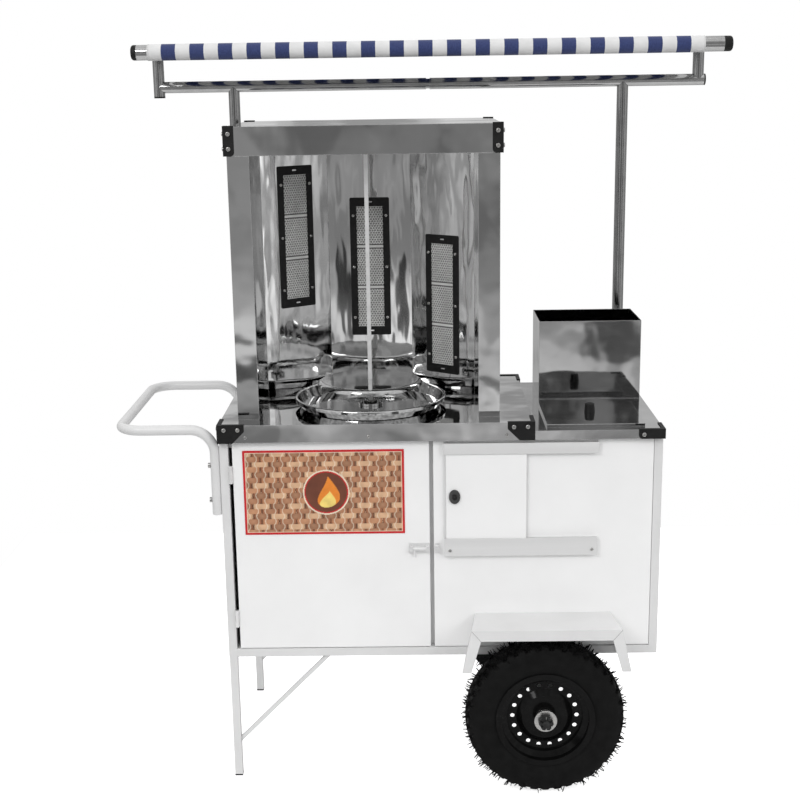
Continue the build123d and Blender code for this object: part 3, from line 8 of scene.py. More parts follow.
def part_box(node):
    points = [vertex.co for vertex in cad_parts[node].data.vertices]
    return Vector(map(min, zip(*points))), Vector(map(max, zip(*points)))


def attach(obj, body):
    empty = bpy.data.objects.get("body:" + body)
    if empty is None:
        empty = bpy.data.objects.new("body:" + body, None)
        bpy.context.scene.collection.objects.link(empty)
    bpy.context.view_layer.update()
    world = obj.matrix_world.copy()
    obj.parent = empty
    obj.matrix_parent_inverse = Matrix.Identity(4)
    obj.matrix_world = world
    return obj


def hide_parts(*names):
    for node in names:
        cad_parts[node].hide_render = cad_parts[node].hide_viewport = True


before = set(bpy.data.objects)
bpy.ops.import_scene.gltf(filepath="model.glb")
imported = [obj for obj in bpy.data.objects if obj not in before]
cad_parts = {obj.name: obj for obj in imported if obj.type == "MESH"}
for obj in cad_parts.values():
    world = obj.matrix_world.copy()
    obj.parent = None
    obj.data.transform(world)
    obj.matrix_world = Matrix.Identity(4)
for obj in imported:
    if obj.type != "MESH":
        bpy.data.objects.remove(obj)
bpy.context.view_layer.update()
scene = bpy.context.scene
scene.view_settings.view_transform = "Standard"

# Camera at the photograph's viewing angle
photo_pixels = 800
focal_pixels = 1334.1
camera_place = (-0.0235, -3.506, 1.765)
camera_yaw = radians(-0.75)
camera_pitch = radians(13.48)
camera_roll = radians(-0.89)


def make_camera():
    level_forward = cos(camera_pitch)
    forward = Vector((sin(camera_yaw) * level_forward, cos(camera_yaw) * level_forward, -sin(camera_pitch)))
    right = Vector((cos(camera_yaw), -sin(camera_yaw), 0))
    up = right.cross(forward)
    turned_right = cos(camera_roll) * right + sin(camera_roll) * up
    turned_up = cos(camera_roll) * up - sin(camera_roll) * right
    data = bpy.data.cameras.new("photo_camera")
    data.sensor_width = 36
    data.lens = focal_pixels / photo_pixels * data.sensor_width
    camera = bpy.data.objects.new("photo_camera", data)
    axes = Matrix((turned_right, turned_up, -forward)).transposed()
    camera.matrix_world = Matrix.Translation(camera_place) @ axes.to_4x4()
    scene.collection.objects.link(camera)
    scene.camera = camera


make_camera()


# Node helpers
def add_node(tree, kind, inputs=None, **settings):
    made = tree.nodes.new(kind)
    for key, value in settings.items():
        setattr(made, key, value)
    for key, value in (inputs or {}).items():
        if isinstance(value, bpy.types.NodeSocket):
            tree.links.new(value, made.inputs[key])
        else:
            made.inputs[key].default_value = value
    return made


def math_node(tree, operation, first, second=0.0):
    return add_node(tree, "ShaderNodeMath", {0: first, 1: second}, operation=operation).outputs[0]


def mix_node(tree, share, first, second, blend="MIX"):
    inputs = {0: share, 6: first, 7: second}
    return add_node(tree, "ShaderNodeMix", inputs, data_type="RGBA", blend_type=blend).outputs[2]


def range_node(tree, value, start=0.0, end=1.0, low=0.0, high=1.0):
    """Brings a value from the range start to end into the range low to high."""
    inputs = {"Value": value, "From Min": start, "From Max": end, "To Min": low, "To Max": high}
    return add_node(tree, "ShaderNodeMapRange", inputs).outputs[0]


def ramp_node(tree, value, stops):
    made = add_node(tree, "ShaderNodeValToRGB", {0: value})
    ramp = made.color_ramp
    while len(ramp.elements) < len(stops):
        ramp.elements.new(0.5)
    for element, (place, colour) in zip(ramp.elements, stops):
        element.position = place
        element.color = (*colour, 1)
    return made.outputs[0]


def noise_node(tree, coords, scale, detail=2.0):
    inputs = {"Vector": coords, "Scale": scale, "Detail": detail}
    return add_node(tree, "ShaderNodeTexNoise", inputs).outputs["Fac"]


def object_coords(tree, stretch=(1, 1, 1)):
    coords = add_node(tree, "ShaderNodeTexCoord").outputs["Object"]
    if stretch == (1, 1, 1):
        return coords
    return add_node(tree, "ShaderNodeMapping", {"Vector": coords, "Scale": stretch}).outputs[0]


def grey(value):
    return (value, value, value)


# Materials: colour and roughness vary in patches, and rounded edges and noises shape the surface
def finish(name, dark, light, rough, patch, relief, stretch=(1, 1, 1), edge=0.001, **sockets):
    """Relief holds pairs of noise scale and depth; sockets go to the shader, with _ for a space."""
    material = bpy.data.materials.new(name)
    material.use_nodes = True
    tree = material.node_tree
    shader = tree.nodes["Principled BSDF"]
    coords = object_coords(tree, stretch)
    patches = noise_node(tree, coords, patch, 4.0)
    tree.links.new(ramp_node(tree, patches, [(0.3, dark), (0.7, light)]), shader.inputs["Base Color"])
    tree.links.new(range_node(tree, patches, low=rough[0], high=rough[1]), shader.inputs["Roughness"])
    normal = add_node(tree, "ShaderNodeBevel", {"Radius": edge}, samples=4).outputs[0]
    for scale, depth in relief:
        bump = {"Height": noise_node(tree, coords, scale), "Distance": depth, "Normal": normal}
        normal = add_node(tree, "ShaderNodeBump", bump).outputs[0]
    tree.links.new(normal, shader.inputs["Normal"])
    for socket, value in sockets.items():
        shader.inputs[socket.replace("_", " ")].default_value = value
    return material


def colour_by_points(material, layer, patch, detail, darkest):
    """Takes the base colour from a mesh's own colours, dulled in patches."""
    tree = material.node_tree
    colours = add_node(tree, "ShaderNodeVertexColor", layer_name=layer).outputs[0]
    patches = noise_node(tree, object_coords(tree), patch, detail)
    shade = ramp_node(tree, patches, [(0.3, grey(darkest)), (0.7, grey(1.0))])
    tone = mix_node(tree, 1.0, colours, shade, "MULTIPLY")
    tree.links.new(tone, tree.nodes["Principled BSDF"].inputs["Base Color"])
    return material


def dress(material, *names):
    for name in names:
        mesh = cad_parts[name].data
        mesh.materials.clear()
        mesh.materials.append(material)


orange_peel = (700, 0.00004)
sheet_wave = (2.6, 0.004)
sheet_dent = (8, 0.0007)
tube_ripple = (12, 0.0001)
plated_grain = (300, 0.00001)
moulded_grain = (1500, 0.00006)
print_ripple = (60, 0.00006)
paint_edge = 0.0015
sheet_edge = 0.0018
small_edge = 0.0006
dull = {"Specular_IOR_Level": 0.2}
deep_black = {"Specular_IOR_Level": 0.1}
metal = {"Metallic": 1.0}

white_paint = finish(
    "white_powder_coat", grey(0.84), grey(0.88), rough=(0.3, 0.42), patch=6,
    relief=[orange_peel], edge=paint_edge, Coat_Weight=0.15,
)
# Painted shade: a darker copy of the white powder coat for the frame, fenders, axle brackets, pole sockets
# and push handle
shaded_white_paint = finish(
    "shaded_copy_white_coat", grey(0.66), grey(0.72), rough=(0.3, 0.42), patch=8,
    relief=[orange_peel], edge=paint_edge,
)
steel = finish(
    "polished_stainless", grey(0.56), grey(0.62), rough=(0.03, 0.07), patch=9,
    relief=[sheet_wave, sheet_dent], edge=sheet_edge, **metal,
)
top_steel = finish(
    "worktop_stainless", grey(0.58), grey(0.64), rough=(0.05, 0.1), patch=9,
    relief=[(3, 0.002), (14, 0.0002)], **metal,
)
reflector_steel = finish(
    "reflector_stainless", grey(0.8), grey(0.88), rough=(0.03, 0.06), patch=8,
    relief=[(4, 0.007), (11, 0.0012)], stretch=(1.5, 1.5, 0.4), **metal,
)
dish_steel = finish(
    "spun_stainless", grey(0.46), grey(0.52), rough=(0.04, 0.1), patch=20,
    relief=[(10, 0.0003)], **metal,
)
rod_steel = finish(
    "ground_stainless", grey(0.8), grey(0.9), rough=(0.35, 0.5), patch=40,
    relief=[(900, 0.00002)], Metallic=0.7,
)
chrome = finish(
    "polished_tube", grey(0.42), grey(0.5), rough=(0.08, 0.16), patch=30,
    relief=[tube_ripple], **metal,
)
pole_steel = finish(
    "brushed_tube", grey(0.26), grey(0.32), rough=(0.12, 0.2), patch=30,
    relief=[tube_ripple], **metal,
)
aluminium = finish(
    "satin_aluminium", grey(0.74), grey(0.8), rough=(0.35, 0.5), patch=4,
    relief=[(60, 0.00004)], stretch=(0.2, 8, 8), Metallic=0.35,
)
zinc = finish(
    "bright_zinc", grey(0.4), (0.5, 0.49, 0.47), rough=(0.2, 0.34), patch=60,
    relief=[plated_grain], edge=small_edge, **metal,
)
nickel = finish(
    "bright_nickel", grey(0.8), grey(0.9), rough=(0.25, 0.4), patch=60,
    relief=[plated_grain], edge=small_edge, Metallic=0.6,
)
brass = finish(
    "plain_brass", (0.55, 0.4, 0.18), (0.72, 0.55, 0.28), rough=(0.25, 0.4), patch=60,
    relief=[(400, 0.00005)], **metal,
)
grey_plastic = finish(
    "moulded_grey_plastic", grey(0.05), grey(0.08), rough=(0.35, 0.5), patch=60,
    relief=[moulded_grain], **dull,
)
black_plastic = finish(
    "moulded_black_plastic", grey(0.008), grey(0.014), rough=(0.4, 0.55), patch=60,
    relief=[moulded_grain], **dull,
)
burner_black = finish(
    "heat_black_paint", grey(0.008), grey(0.015), rough=(0.35, 0.5), patch=80,
    relief=[(1200, 0.00005)], **dull,
)
dark_oxide = finish(
    "black_oxide_steel", grey(0.01), grey(0.03), rough=(0.35, 0.5), patch=90,
    relief=[(400, 0.00003)], **dull,
)
rubber = finish(
    "tyre_rubber", grey(0.003), grey(0.007), rough=(0.5, 0.75), patch=40,
    relief=[(700, 0.0001)], **deep_black,
)
rim_black = finish(
    "gloss_black_enamel", grey(0.003), grey(0.006), rough=(0.05, 0.12), patch=30,
    relief=[(90, 0.0001)], **deep_black,
)
sign_plate = finish(
    "sign_plate_edge", (0.55, 0.012, 0.016), (0.64, 0.018, 0.022), rough=(0.25, 0.35), patch=20,
    relief=[print_ripple],
)

dress(white_paint, "floor_panel", "rear_panel", "side_panels", "front_panel", "cabinet_door", "sliding_door")
# Painted shade: the frame, fenders, brackets, sockets and handle take the darker copy of the white paint
dress(shaded_white_paint, "frame_tubes", "wheel_fenders", "axle_brackets", "pole_sockets", "push_handle")
dress(steel, "machine_base", "machine_columns", "machine_hood", "rear_cover", "serving_bin", "food_pan")
dress(top_steel, "worktop", "pan_lid")
dress(reflector_steel, "centre_reflector", "side_reflectors")
dress(dish_steel, "drip_tray", "spit_disc")
dress(rod_steel, "spit_rod")
dress(chrome, "canopy_cross_bars", "canopy_side_rails", "canopy_tubes")
dress(pole_steel, "canopy_poles", "canopy_end_posts")
dress(aluminium, "door_tracks")
dress(zinc, "fasteners", "front_hub", "rear_hub", "spit_bearing", "spit_coupling")
dress(nickel, "latch_body", "latch_bolt", "latch_keeper", "hinge_frame_leaves", "hinge_door_leaves")
dress(brass, "gas_manifold")
dress(grey_plastic, "lock_case")
dress(black_plastic, "corner_brackets", "tube_plugs", "lid_knob")
dress(black_plastic, "valve_knob_left", "valve_knob_centre", "valve_knob_right")
dress(burner_black, "burner_frames", "burner_bodies", "spit_motor")
dress(dark_oxide, "axle", "lock_barrel")
dress(rim_black, "front_rim", "rear_rim")
dress(sign_plate, "door_sign")

# Studio: a pale floor, a room that shows in the metal, and soft lamps
# Tones of the room's walls from straight down, at 0, to straight up, at 1
sky_tones = [(0.1, grey(0.15)), (0.5, grey(0.5)), (0.9, grey(1.0))]
centre_tones = [
    (0.372, grey(0.38)), (0.38, grey(0.75)), (0.41, grey(0.7)), (0.425, grey(0.36)), (0.47, grey(0.27)),
    (0.62, grey(0.32)), (0.75, grey(0.6)), (0.9, grey(1.0)),
]
side_tones = [(0.3, grey(0.5)), (0.45, grey(0.85)), (0.9, grey(1.0))]
back_tones = [(0.3, grey(0.4)), (0.5, grey(0.5)), (0.7, grey(0.6)), (0.9, grey(1.0))]
# Clouds on the walls: tones by the level of a noise
cloud_scale = 14.0
cloud_tones = [(0.42, grey(0.62)), (0.45, grey(0.9)), (0.56, grey(1.0)), (0.6, grey(1.3))]
# Dark oval screens in front of the object: direction's x and z, half width and half height
screens = [
    (-0.15, -0.207, 0.08, 0.018), (0.155, -0.183, 0.03, 0.02),
    (0.1, 0.24, 0.01, 0.05), (0.165, 0.24, 0.012, 0.05),
    (-0.02, -0.16, 0.025, 0.05), (0.05, -0.225, 0.03, 0.008),
    (-0.6, -0.1, 0.08, 0.4), (0.62, -0.1, 0.08, 0.4),
]
screen_tones = [(0.85, grey(0.15)), (1.0, grey(1.0))]
floor_reach = 1.6
floor_level = -0.0005
floor_tone = 0.8
floor_glow = 0.75


def make_world():
    world = bpy.data.worlds.new("studio")
    scene.world = world
    world.use_nodes = True
    tree = world.node_tree
    direction = add_node(tree, "ShaderNodeTexCoord").outputs["Generated"]
    parts = add_node(tree, "ShaderNodeSeparateXYZ", {0: direction}).outputs
    level = range_node(tree, parts[2], -1.0, 1.0)
    aside = range_node(tree, math_node(tree, "ABSOLUTE", parts[0]), 0.2, 0.4)
    behind = range_node(tree, parts[1], -0.4, 0.4)
    in_front = math_node(tree, "SUBTRACT", 1.0, behind)
    centre = ramp_node(tree, level, centre_tones)
    front_wall = mix_node(tree, aside, centre, ramp_node(tree, level, side_tones))
    wall = mix_node(tree, behind, front_wall, ramp_node(tree, level, back_tones))
    clouds = ramp_node(tree, noise_node(tree, direction, cloud_scale, 1.0), cloud_tones)
    room = mix_node(tree, 1.0, wall, clouds, "MULTIPLY")
    for x, z, half_width, half_height in screens:
        scale = (1 / half_width, 0, 1 / half_height)
        shift = (-x / half_width, 0, -z / half_height)
        placing = {"Vector": direction, "Location": shift, "Scale": scale}
        place = add_node(tree, "ShaderNodeMapping", placing).outputs[0]
        reach = add_node(tree, "ShaderNodeVectorMath", {0: place}, operation="LENGTH").outputs["Value"]
        room = mix_node(tree, in_front, room, ramp_node(tree, reach, screen_tones), "MULTIPLY")
    rays = add_node(tree, "ShaderNodeLightPath").outputs
    light = mix_node(tree, rays["Is Glossy Ray"], ramp_node(tree, level, sky_tones), room)
    seen = mix_node(tree, rays["Is Camera Ray"], light, (1, 1, 1, 1))
    tree.links.new(seen, tree.nodes["Background"].inputs[0])


def make_floor():
    mesh = bpy.data.meshes.new("floor")
    sides = [(-1, -1), (1, -1), (1, 1), (-1, 1)]
    corners = [(x * floor_reach, y * floor_reach, floor_level) for x, y in sides]
    mesh.from_pydata(corners, [], [(0, 1, 2, 3)])
    floor = bpy.data.objects.new("floor", mesh)
    scene.collection.objects.link(floor)
    material = bpy.data.materials.new("pale_floor")
    material.use_nodes = True
    tree = material.node_tree
    shader = tree.nodes["Principled BSDF"]
    shader.inputs["Base Color"].default_value = (*grey(floor_tone), 1)
    shader.inputs["Roughness"].default_value = 0.9
    camera_rays = add_node(tree, "ShaderNodeLightPath").outputs["Is Camera Ray"]
    shown = math_node(tree, "MULTIPLY", camera_rays, floor_glow)
    tree.links.new(shown, shader.inputs["Emission Strength"])
    shader.inputs["Emission Color"].default_value = (1, 1, 1, 1)
    mesh.materials.append(material)


def add_lamp(name, place, target, size, power, shows_in_metal):
    data = bpy.data.lights.new(name, "AREA")
    data.shape = "RECTANGLE"
    data.size, data.size_y = size
    data.energy = power
    lamp = bpy.data.objects.new(name, data)
    lamp.location = place
    lamp.rotation_euler = (Vector(target) - Vector(place)).to_track_quat("-Z", "Y").to_euler()
    lamp.visible_glossy = shows_in_metal
    scene.collection.objects.link(lamp)


make_world()
make_floor()
add_lamp("key_lamp", (-2.2, -3.6, 3.6), (0, 0, 0.8), size=(1.6, 1.3), power=58, shows_in_metal=True)
add_lamp("fill_lamp", (2.8, -3.0, 2.6), (0, 0, 0.9), size=(1.4, 1.6), power=40, shows_in_metal=False)
add_lamp("back_lamp", (0.4, 3.2, 3.4), (0, 0, 1.2), size=(2.4, 1.4), power=40, shows_in_metal=False)

# Mesh helpers
lathe_steps = 144
sharp_angle = radians(35)


def new_piece(name, vertices, faces, material, body, smooth=False):
    mesh = bpy.data.meshes.new(name)
    mesh.from_pydata(vertices, [], faces)
    mesh.update()
    mesh.materials.append(material)
    for polygon in mesh.polygons:
        polygon.use_smooth = smooth
    piece = bpy.data.objects.new(name, mesh)
    scene.collection.objects.link(piece)
    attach(piece, body)
    return piece


def paint_points(piece, layer, colours):
    """Keeps a flat list of red, green, blue and alpha values as the colours of a piece's points."""
    piece.data.color_attributes.new(layer, "FLOAT_COLOR", "POINT").data.foreach_set("color", colours)


def grid_faces(rows, columns, closed=False):
    """Quads over a grid of points kept row by row; closed joins the last row to the first."""
    faces = []
    for row in range(rows if closed else rows - 1):
        after = (row + 1) % rows
        for column in range(columns - 1):
            first = row * columns + column
            second = after * columns + column
            faces.append((first, first + 1, second + 1, second))
    return faces


def arc_points(centre, radius, start, end, count):
    """Points on an arc of a plane, with angles in degrees."""
    points = []
    for step in range(count + 1):
        angle = radians(start + (end - start) * step / count)
        points.append((centre[0] + radius * cos(angle), centre[1] + radius * sin(angle)))
    return points


def arc_through(start, middle, end, count):
    """Points on the circle through three points of a plane, from start to end."""
    (ax, ay), (bx, by), (cx, cy) = start, middle, end
    a_square = ax * ax + ay * ay
    b_square = bx * bx + by * by
    c_square = cx * cx + cy * cy
    twice = 2 * (ax * (by - cy) + bx * (cy - ay) + cx * (ay - by))
    centre_x = (a_square * (by - cy) + b_square * (cy - ay) + c_square * (ay - by)) / twice
    centre_y = (a_square * (cx - bx) + b_square * (ax - cx) + c_square * (bx - ax)) / twice
    centre = Vector((centre_x, centre_y))
    first = Vector(start) - centre
    sweep = first.angle_signed(Vector(end) - centre)
    points = []
    for step in range(count + 1):
        turn = Matrix.Rotation(-sweep * step / count, 2)
        points.append(tuple(centre + turn @ first))
    return points


def lathe(name, section, centre, axis, material, body):
    """Closed section of (radius, distance along the axis) points turned about an axis through a centre."""
    axis = Vector(axis)
    across = axis.orthogonal().normalized()
    upright = axis.cross(across)
    ring = section + section[:1]
    vertices = []
    for step in range(lathe_steps):
        angle = 2 * pi * step / lathe_steps
        outward = across * cos(angle) + upright * sin(angle)
        vertices.extend(Vector(centre) + outward * radius + axis * rise for radius, rise in ring)
    piece = new_piece(name, vertices, grid_faces(lathe_steps, len(ring), True), material, body, True)
    piece.data.set_sharp_from_angle(angle=sharp_angle)
    return piece


# Striped canopy: one sheet that wraps the front tube and the higher rear tube
fabric_low, fabric_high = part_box("canopy_fabric")
fabric_width = fabric_high.x - fabric_low.x
stripe_count = 39
stripe_columns = 4
wrap_outer = 0.0205
wrap_inset = 0.0007
wrap_radius = wrap_outer - wrap_inset
wrap_turn = 220
wrap_steps = 24
span_steps = 24
cloth_sag = 0.009
cloth_thickness = 0.001
front_tube = Vector((fabric_low.y + wrap_outer, fabric_low.z + wrap_outer))
rear_tube = Vector((fabric_high.y - wrap_outer, fabric_high.z - wrap_outer))


def canopy_profile():
    """Points (y, z) from the lap under the front tube, over both tubes, to the lap under the rear one."""
    front = arc_points(front_tube, wrap_radius, wrap_turn - 270, -270, wrap_steps)
    rear = arc_points(rear_tube, wrap_radius, 90, 90 - wrap_turn, wrap_steps)
    span = []
    for step in range(1, span_steps):
        share = step / span_steps
        place = Vector(front[-1]).lerp(Vector(rear[0]), share)
        span.append((place.x, place.y - cloth_sag * sin(pi * share)))
    return front + span + rear


def cloth_material():
    material = finish(
        "striped_cloth", grey(0.66), grey(0.74), rough=(0.75, 0.9), patch=30,
        relief=[(1400, 0.0002), (25, 0.0006)], Sheen_Weight=0.15,
    )
    tree = material.node_tree
    shader = tree.nodes["Principled BSDF"]
    white = shader.inputs["Base Color"].links[0].from_socket
    thread = noise_node(tree, object_coords(tree, (1, 0.3, 0.3)), 900)
    navy = ramp_node(tree, thread, [(0.35, (0.02, 0.03, 0.11)), (0.65, (0.035, 0.055, 0.17))])
    across = add_node(tree, "ShaderNodeSeparateXYZ", {0: object_coords(tree)}).outputs[0]
    from_left = math_node(tree, "SUBTRACT", across, fabric_low.x)
    stripe = math_node(tree, "MULTIPLY", from_left, stripe_count / fabric_width)
    is_navy = math_node(tree, "GREATER_THAN", math_node(tree, "MODULO", stripe, 2.0), 1.0)
    tree.links.new(mix_node(tree, is_navy, white, navy), shader.inputs["Base Color"])
    return material


def make_canopy():
    profile = canopy_profile()
    columns = stripe_columns * stripe_count + 1
    vertices = []
    for y, z in profile:
        for column in range(columns):
            vertices.append((fabric_low.x + fabric_width * column / (columns - 1), y, z))
    faces = grid_faces(len(profile), columns)
    canopy = new_piece("canopy_sheet", vertices, faces, cloth_material(), "cart", True)
    thickness = canopy.modifiers.new("thickness", "SOLIDIFY")
    thickness.thickness = cloth_thickness
    thickness.offset = 0
    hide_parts("canopy_fabric")


make_canopy()

# Tyres: tread blocks, sidewall rings and the rubber hairs left by the mould
tyre_radius = 0.2
tyre_half = 0.0475
widest_radius = 0.164
tread_half = 0.037
tread_steps = 18
shoulder_radius = 0.193
bead_radius = 0.127
bead_half = 0.038
seat_radius = 0.1125
wall_steps = 22
wall_rings = [(0.1385, 0.1425), (0.1655, 0.168)]
wall_ring_height = 0.0007
# Lugs: rows start and end at shares of the half width, and a lug fills a share of its pitch
lug_count = 40
lug_steps = 10
lug_depth = 0.007
lug_foot_radius = 0.186
tread_share_limit = 1.001
outer_row_start = 0.62
outer_row_skew = 0.25
outer_row_fill = 0.6
inner_row_start = 0.12
inner_row_end = 0.5
inner_row_skew = 0.6
inner_row_fill = 0.68
middle_groove_half = 0.04
middle_groove_height = 0.15
# Lugs run down the flanks and fade out
flank_radius = 0.172
flank_height = 0.021
flank_depth = 0.0022
# Hairs: least, most and likeliest distance from the middle and length, and thickness from root to tip
hair_count = 560
hair_distance = (0.004, 0.044, 0.037)
hair_length = (0.009, 0.02, 0.014)
hair_radii = (0.0017, 0.0014, 0.001)
hair_sides = 3
hair_root_radius = 0.197
hair_crown_drop = 0.0075
hair_flank_drop = 0.006
hair_lean = 0.6
hair_bend = 0.5
hair_bend_place = 0.6
outer_hair_distance = 0.025
outer_hair_spread = (0.0, 0.8)
inner_hair_spread = (-0.3, 0.3)
# A hair whose tip would come too near the floor is laid sideways
hair_floor_gap = 0.0015
laid_hair_aside = 0.9
laid_hair_rise = 0.25
laid_hair_bend = 0.5
laid_hair_tip = 0.8


def tread_height(turn, across):
    """Share of the full tread height at an angle in lug pitches and a signed share of the half width."""
    side = 0.5 if across > 0 else 0.0
    reach = abs(across)
    if reach > outer_row_start:
        return 1.0 if (turn + side + outer_row_skew * reach) % 1.0 < outer_row_fill else 0.0
    if reach > inner_row_end:
        return 0.0
    if reach > inner_row_start:
        return 1.0 if (turn + side + 0.5 + inner_row_skew * reach) % 1.0 < inner_row_fill else 0.0
    return middle_groove_height if reach < middle_groove_half else 1.0


def tyre_section():
    """Radius and sideways place of the points from bead to bead."""
    shoulder = (shoulder_radius, tread_half)
    wall = arc_through((bead_radius, bead_half), (widest_radius, tyre_half), shoulder, wall_steps)
    tread = []
    for step in range(1, 2 * tread_steps):
        across = tread_half * (1 - step / tread_steps)
        crown = (tyre_radius - shoulder_radius) * (across / tread_half) ** 2
        tread.append((tyre_radius - crown, across))
    other = [(radius, -across) for radius, across in reversed(wall)]
    return [(seat_radius, bead_half)] + wall + tread + other + [(seat_radius, -bead_half)]


def tyre_relief(turn, radius, across):
    """How far a point of the section lies below the smooth tyre at an angle in lug pitches."""
    share = across / tread_half
    if radius > lug_foot_radius and abs(share) <= tread_share_limit:
        return lug_depth * (1 - tread_height(turn, share))
    if radius > flank_radius:
        lug = tread_height(turn, 1.0 if share > 0 else -1.0)
        return flank_depth * (1 - lug) * (radius - flank_radius) / flank_height
    if any(inner < radius < outer for inner, outer in wall_rings):
        return -wall_ring_height
    return 0.0


def make_tyre(name, centre):
    section = tyre_section()
    steps = lug_count * lug_steps
    vertices = []
    for step in range(steps):
        angle = 2 * pi * step / steps
        outward = Vector((cos(angle), 0, sin(angle)))
        for radius, across in section:
            height = radius - tyre_relief(step / lug_steps, radius, across)
            vertices.append(centre + outward * height + Vector((0, across, 0)))
    faces = grid_faces(steps, len(section), True)
    piece = new_piece(f"{name}_tyre_tread", vertices, faces, rubber, f"{name}_wheel", True)
    strips = len(section) - 1
    smooth_strips = wall_steps - 2
    for index, polygon in enumerate(piece.data.polygons):
        polygon.use_smooth = not smooth_strips <= index % strips < strips - smooth_strips
    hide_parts(f"{name}_tyre")


def hair_line(chance, centre):
    """Root, bend and tip of one hair, and two directions across its root."""
    angle = chance.uniform(0, 2 * pi)
    across = chance.choice((-1, 1)) * chance.triangular(*hair_distance)
    outward = Vector((cos(angle), 0, sin(angle)))
    along = Vector((-sin(angle), 0, cos(angle)))
    sideways = Vector((0, 1 if across > 0 else -1, 0))
    flank_drop = hair_flank_drop if abs(across) > tread_half else 0
    radius = hair_root_radius - hair_crown_drop * (across / tread_half) ** 2 - flank_drop
    root = centre + outward * radius + Vector((0, across, 0))
    lean = chance.uniform(-hair_lean, hair_lean)
    spread = chance.uniform(*(outer_hair_spread if abs(across) > outer_hair_distance else inner_hair_spread))
    length = chance.triangular(*hair_length)
    heading = (outward + along * lean + sideways * spread).normalized()
    bend = (heading + along * chance.uniform(-hair_bend, hair_bend)).normalized()
    knee = root + heading * length * hair_bend_place
    points = [root, knee, knee + bend * length * (1 - hair_bend_place)]
    if points[-1].z < hair_floor_gap:
        laid = sideways * laid_hair_aside + along * lean + Vector((0, 0, laid_hair_rise))
        heading = laid.normalized()
        points = [root, root + heading * length * laid_hair_bend, root + heading * length * laid_hair_tip]
    return points, along, outward.cross(along)


def make_hairs(name, centre, seed):
    chance = Random(seed)
    vertices = []
    faces = []
    for _ in range(hair_count):
        points, along, aside = hair_line(chance, centre)
        first = len(vertices)
        for point, radius in zip(points, hair_radii):
            for corner in range(hair_sides):
                turn = 2 * pi * corner / hair_sides
                vertices.append(point + (along * cos(turn) + aside * sin(turn)) * radius)
        for level in range(len(hair_radii) - 1):
            ring = first + level * hair_sides
            for corner in range(hair_sides):
                here = ring + corner
                beside = ring + (corner + 1) % hair_sides
                faces.append((here, beside, beside + hair_sides, here + hair_sides))
        faces.append(tuple(range(len(vertices) - hair_sides, len(vertices))))
    piece = new_piece(f"{name}_tyre_hairs", vertices, faces, rubber, f"{name}_wheel", True)


# Rims: a rolled edge on each flange
rim_edge_radius = 0.1222
rim_roll = 0.0031
rim_roll_steps = 24
rim_edge_inset = 0.0032


def make_rim_edges(name, centre):
    low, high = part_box(f"{name}_rim")
    last_turn = 360 - 360 / rim_roll_steps
    roll = arc_points((0, 0), rim_roll, 0, last_turn, rim_roll_steps - 1)
    for side, face_y, inward in (("left", low.y, rim_edge_inset), ("right", high.y, -rim_edge_inset)):
        section = [(rim_edge_radius + radius, inward + along) for radius, along in roll]
        middle = (centre.x, face_y, centre.z)
        piece = lathe(f"{name}_rim_edge_{side}", section, middle, (0, 1, 0), rim_black, f"{name}_wheel")


for name, seed in (("front", 3), ("rear", 8)):
    low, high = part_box(f"{name}_tyre")
    wheel_centre = (low + high) / 2
    make_tyre(name, wheel_centre)
    make_hairs(name, wheel_centre, seed)
    make_rim_edges(name, wheel_centre)


# Drip tray and spit disc: spun from sheet, with rolled or rounded edges
def spin_dish(name, node, section, body):
    low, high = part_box(node)
    middle = (low + high) / 2
    piece = lathe(name, section, (middle.x, middle.y, low.z), (0, 0, 1), dish_steel, body)
    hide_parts(node)


def make_tray():
    low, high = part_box("drip_tray")
    rim = (high.x - low.x) / 2
    rise = high.z - low.z
    sheet = 0.0012
    hole = 0.03
    collar = 0.008
    wall_lean = 0.016
    roll = 0.004
    lip = 0.01
    floor = rim - wall_lean
    lip_foot = rise - lip
    roll_centre = (rim - roll, rise - roll)
    section = [(hole, 0), (floor, 0)] + arc_points(roll_centre, roll - sheet, 180, 0, 12)
    section += [(rim - sheet, lip_foot), (rim, lip_foot)] + arc_points(roll_centre, roll, 0, 180, 14)
    section += [(floor - sheet, sheet), (hole + sheet, sheet), (hole + sheet, collar), (hole, collar)]
    spin_dish("drip_tray_spun", "drip_tray", section, "drip_tray")


def make_disc():
    low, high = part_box("spit_disc")
    skirt = (high.x - low.x) / 2
    top = high.z - low.z
    sheet = 0.0015
    bore = 0.007
    hub = 0.015
    edge = 0.0135
    edge_centre = (skirt - edge, top - edge)
    section = [(bore, 0), (hub, 0), (hub, top - sheet)] + arc_points(edge_centre, edge - sheet, 90, 0, 10)
    section += arc_points(edge_centre, edge, 0, 90, 12) + [(bore, top)]
    spin_dish("spit_disc_spun", "spit_disc", section, "spit")


make_tray()
make_disc()

# Burner tiles: pressed ceramic with rows of small cups, and a bar between two grooves where tiles meet; the
# cups carry painted shade, darkest in their middle
hood_low, hood_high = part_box("machine_hood")
machine_x = (hood_low.x + hood_high.x) / 2
centre_low, centre_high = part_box("centre_reflector")
sides_low, sides_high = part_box("side_reflectors")
chamber_mid = (centre_low.z + centre_high.z) / 2
burner_rises = {-1: 0.097, 0: 0.0075, 1: -0.0875}
tile_count = 3
tile_pitch = 0.1103
tile_half_width = 0.039
tile_depth = 0.013
tile_step = 0.0013
tile_tone = 0.74
tile_blue = 0.98
joint_half = 0.006
joint_bar_half = 0.0032
joint_depth = 0.0008
joint_tone = 0.08
cup_pitch = 0.007
cup_row_pitch = cup_pitch * 0.866
cup_radius = 0.0027
cup_depth = 0.0018
# Painted shade in the cups: a tone in their middle that rises towards their rim
cup_shade_tone = 0.1
cup_shade_fade = 0.25


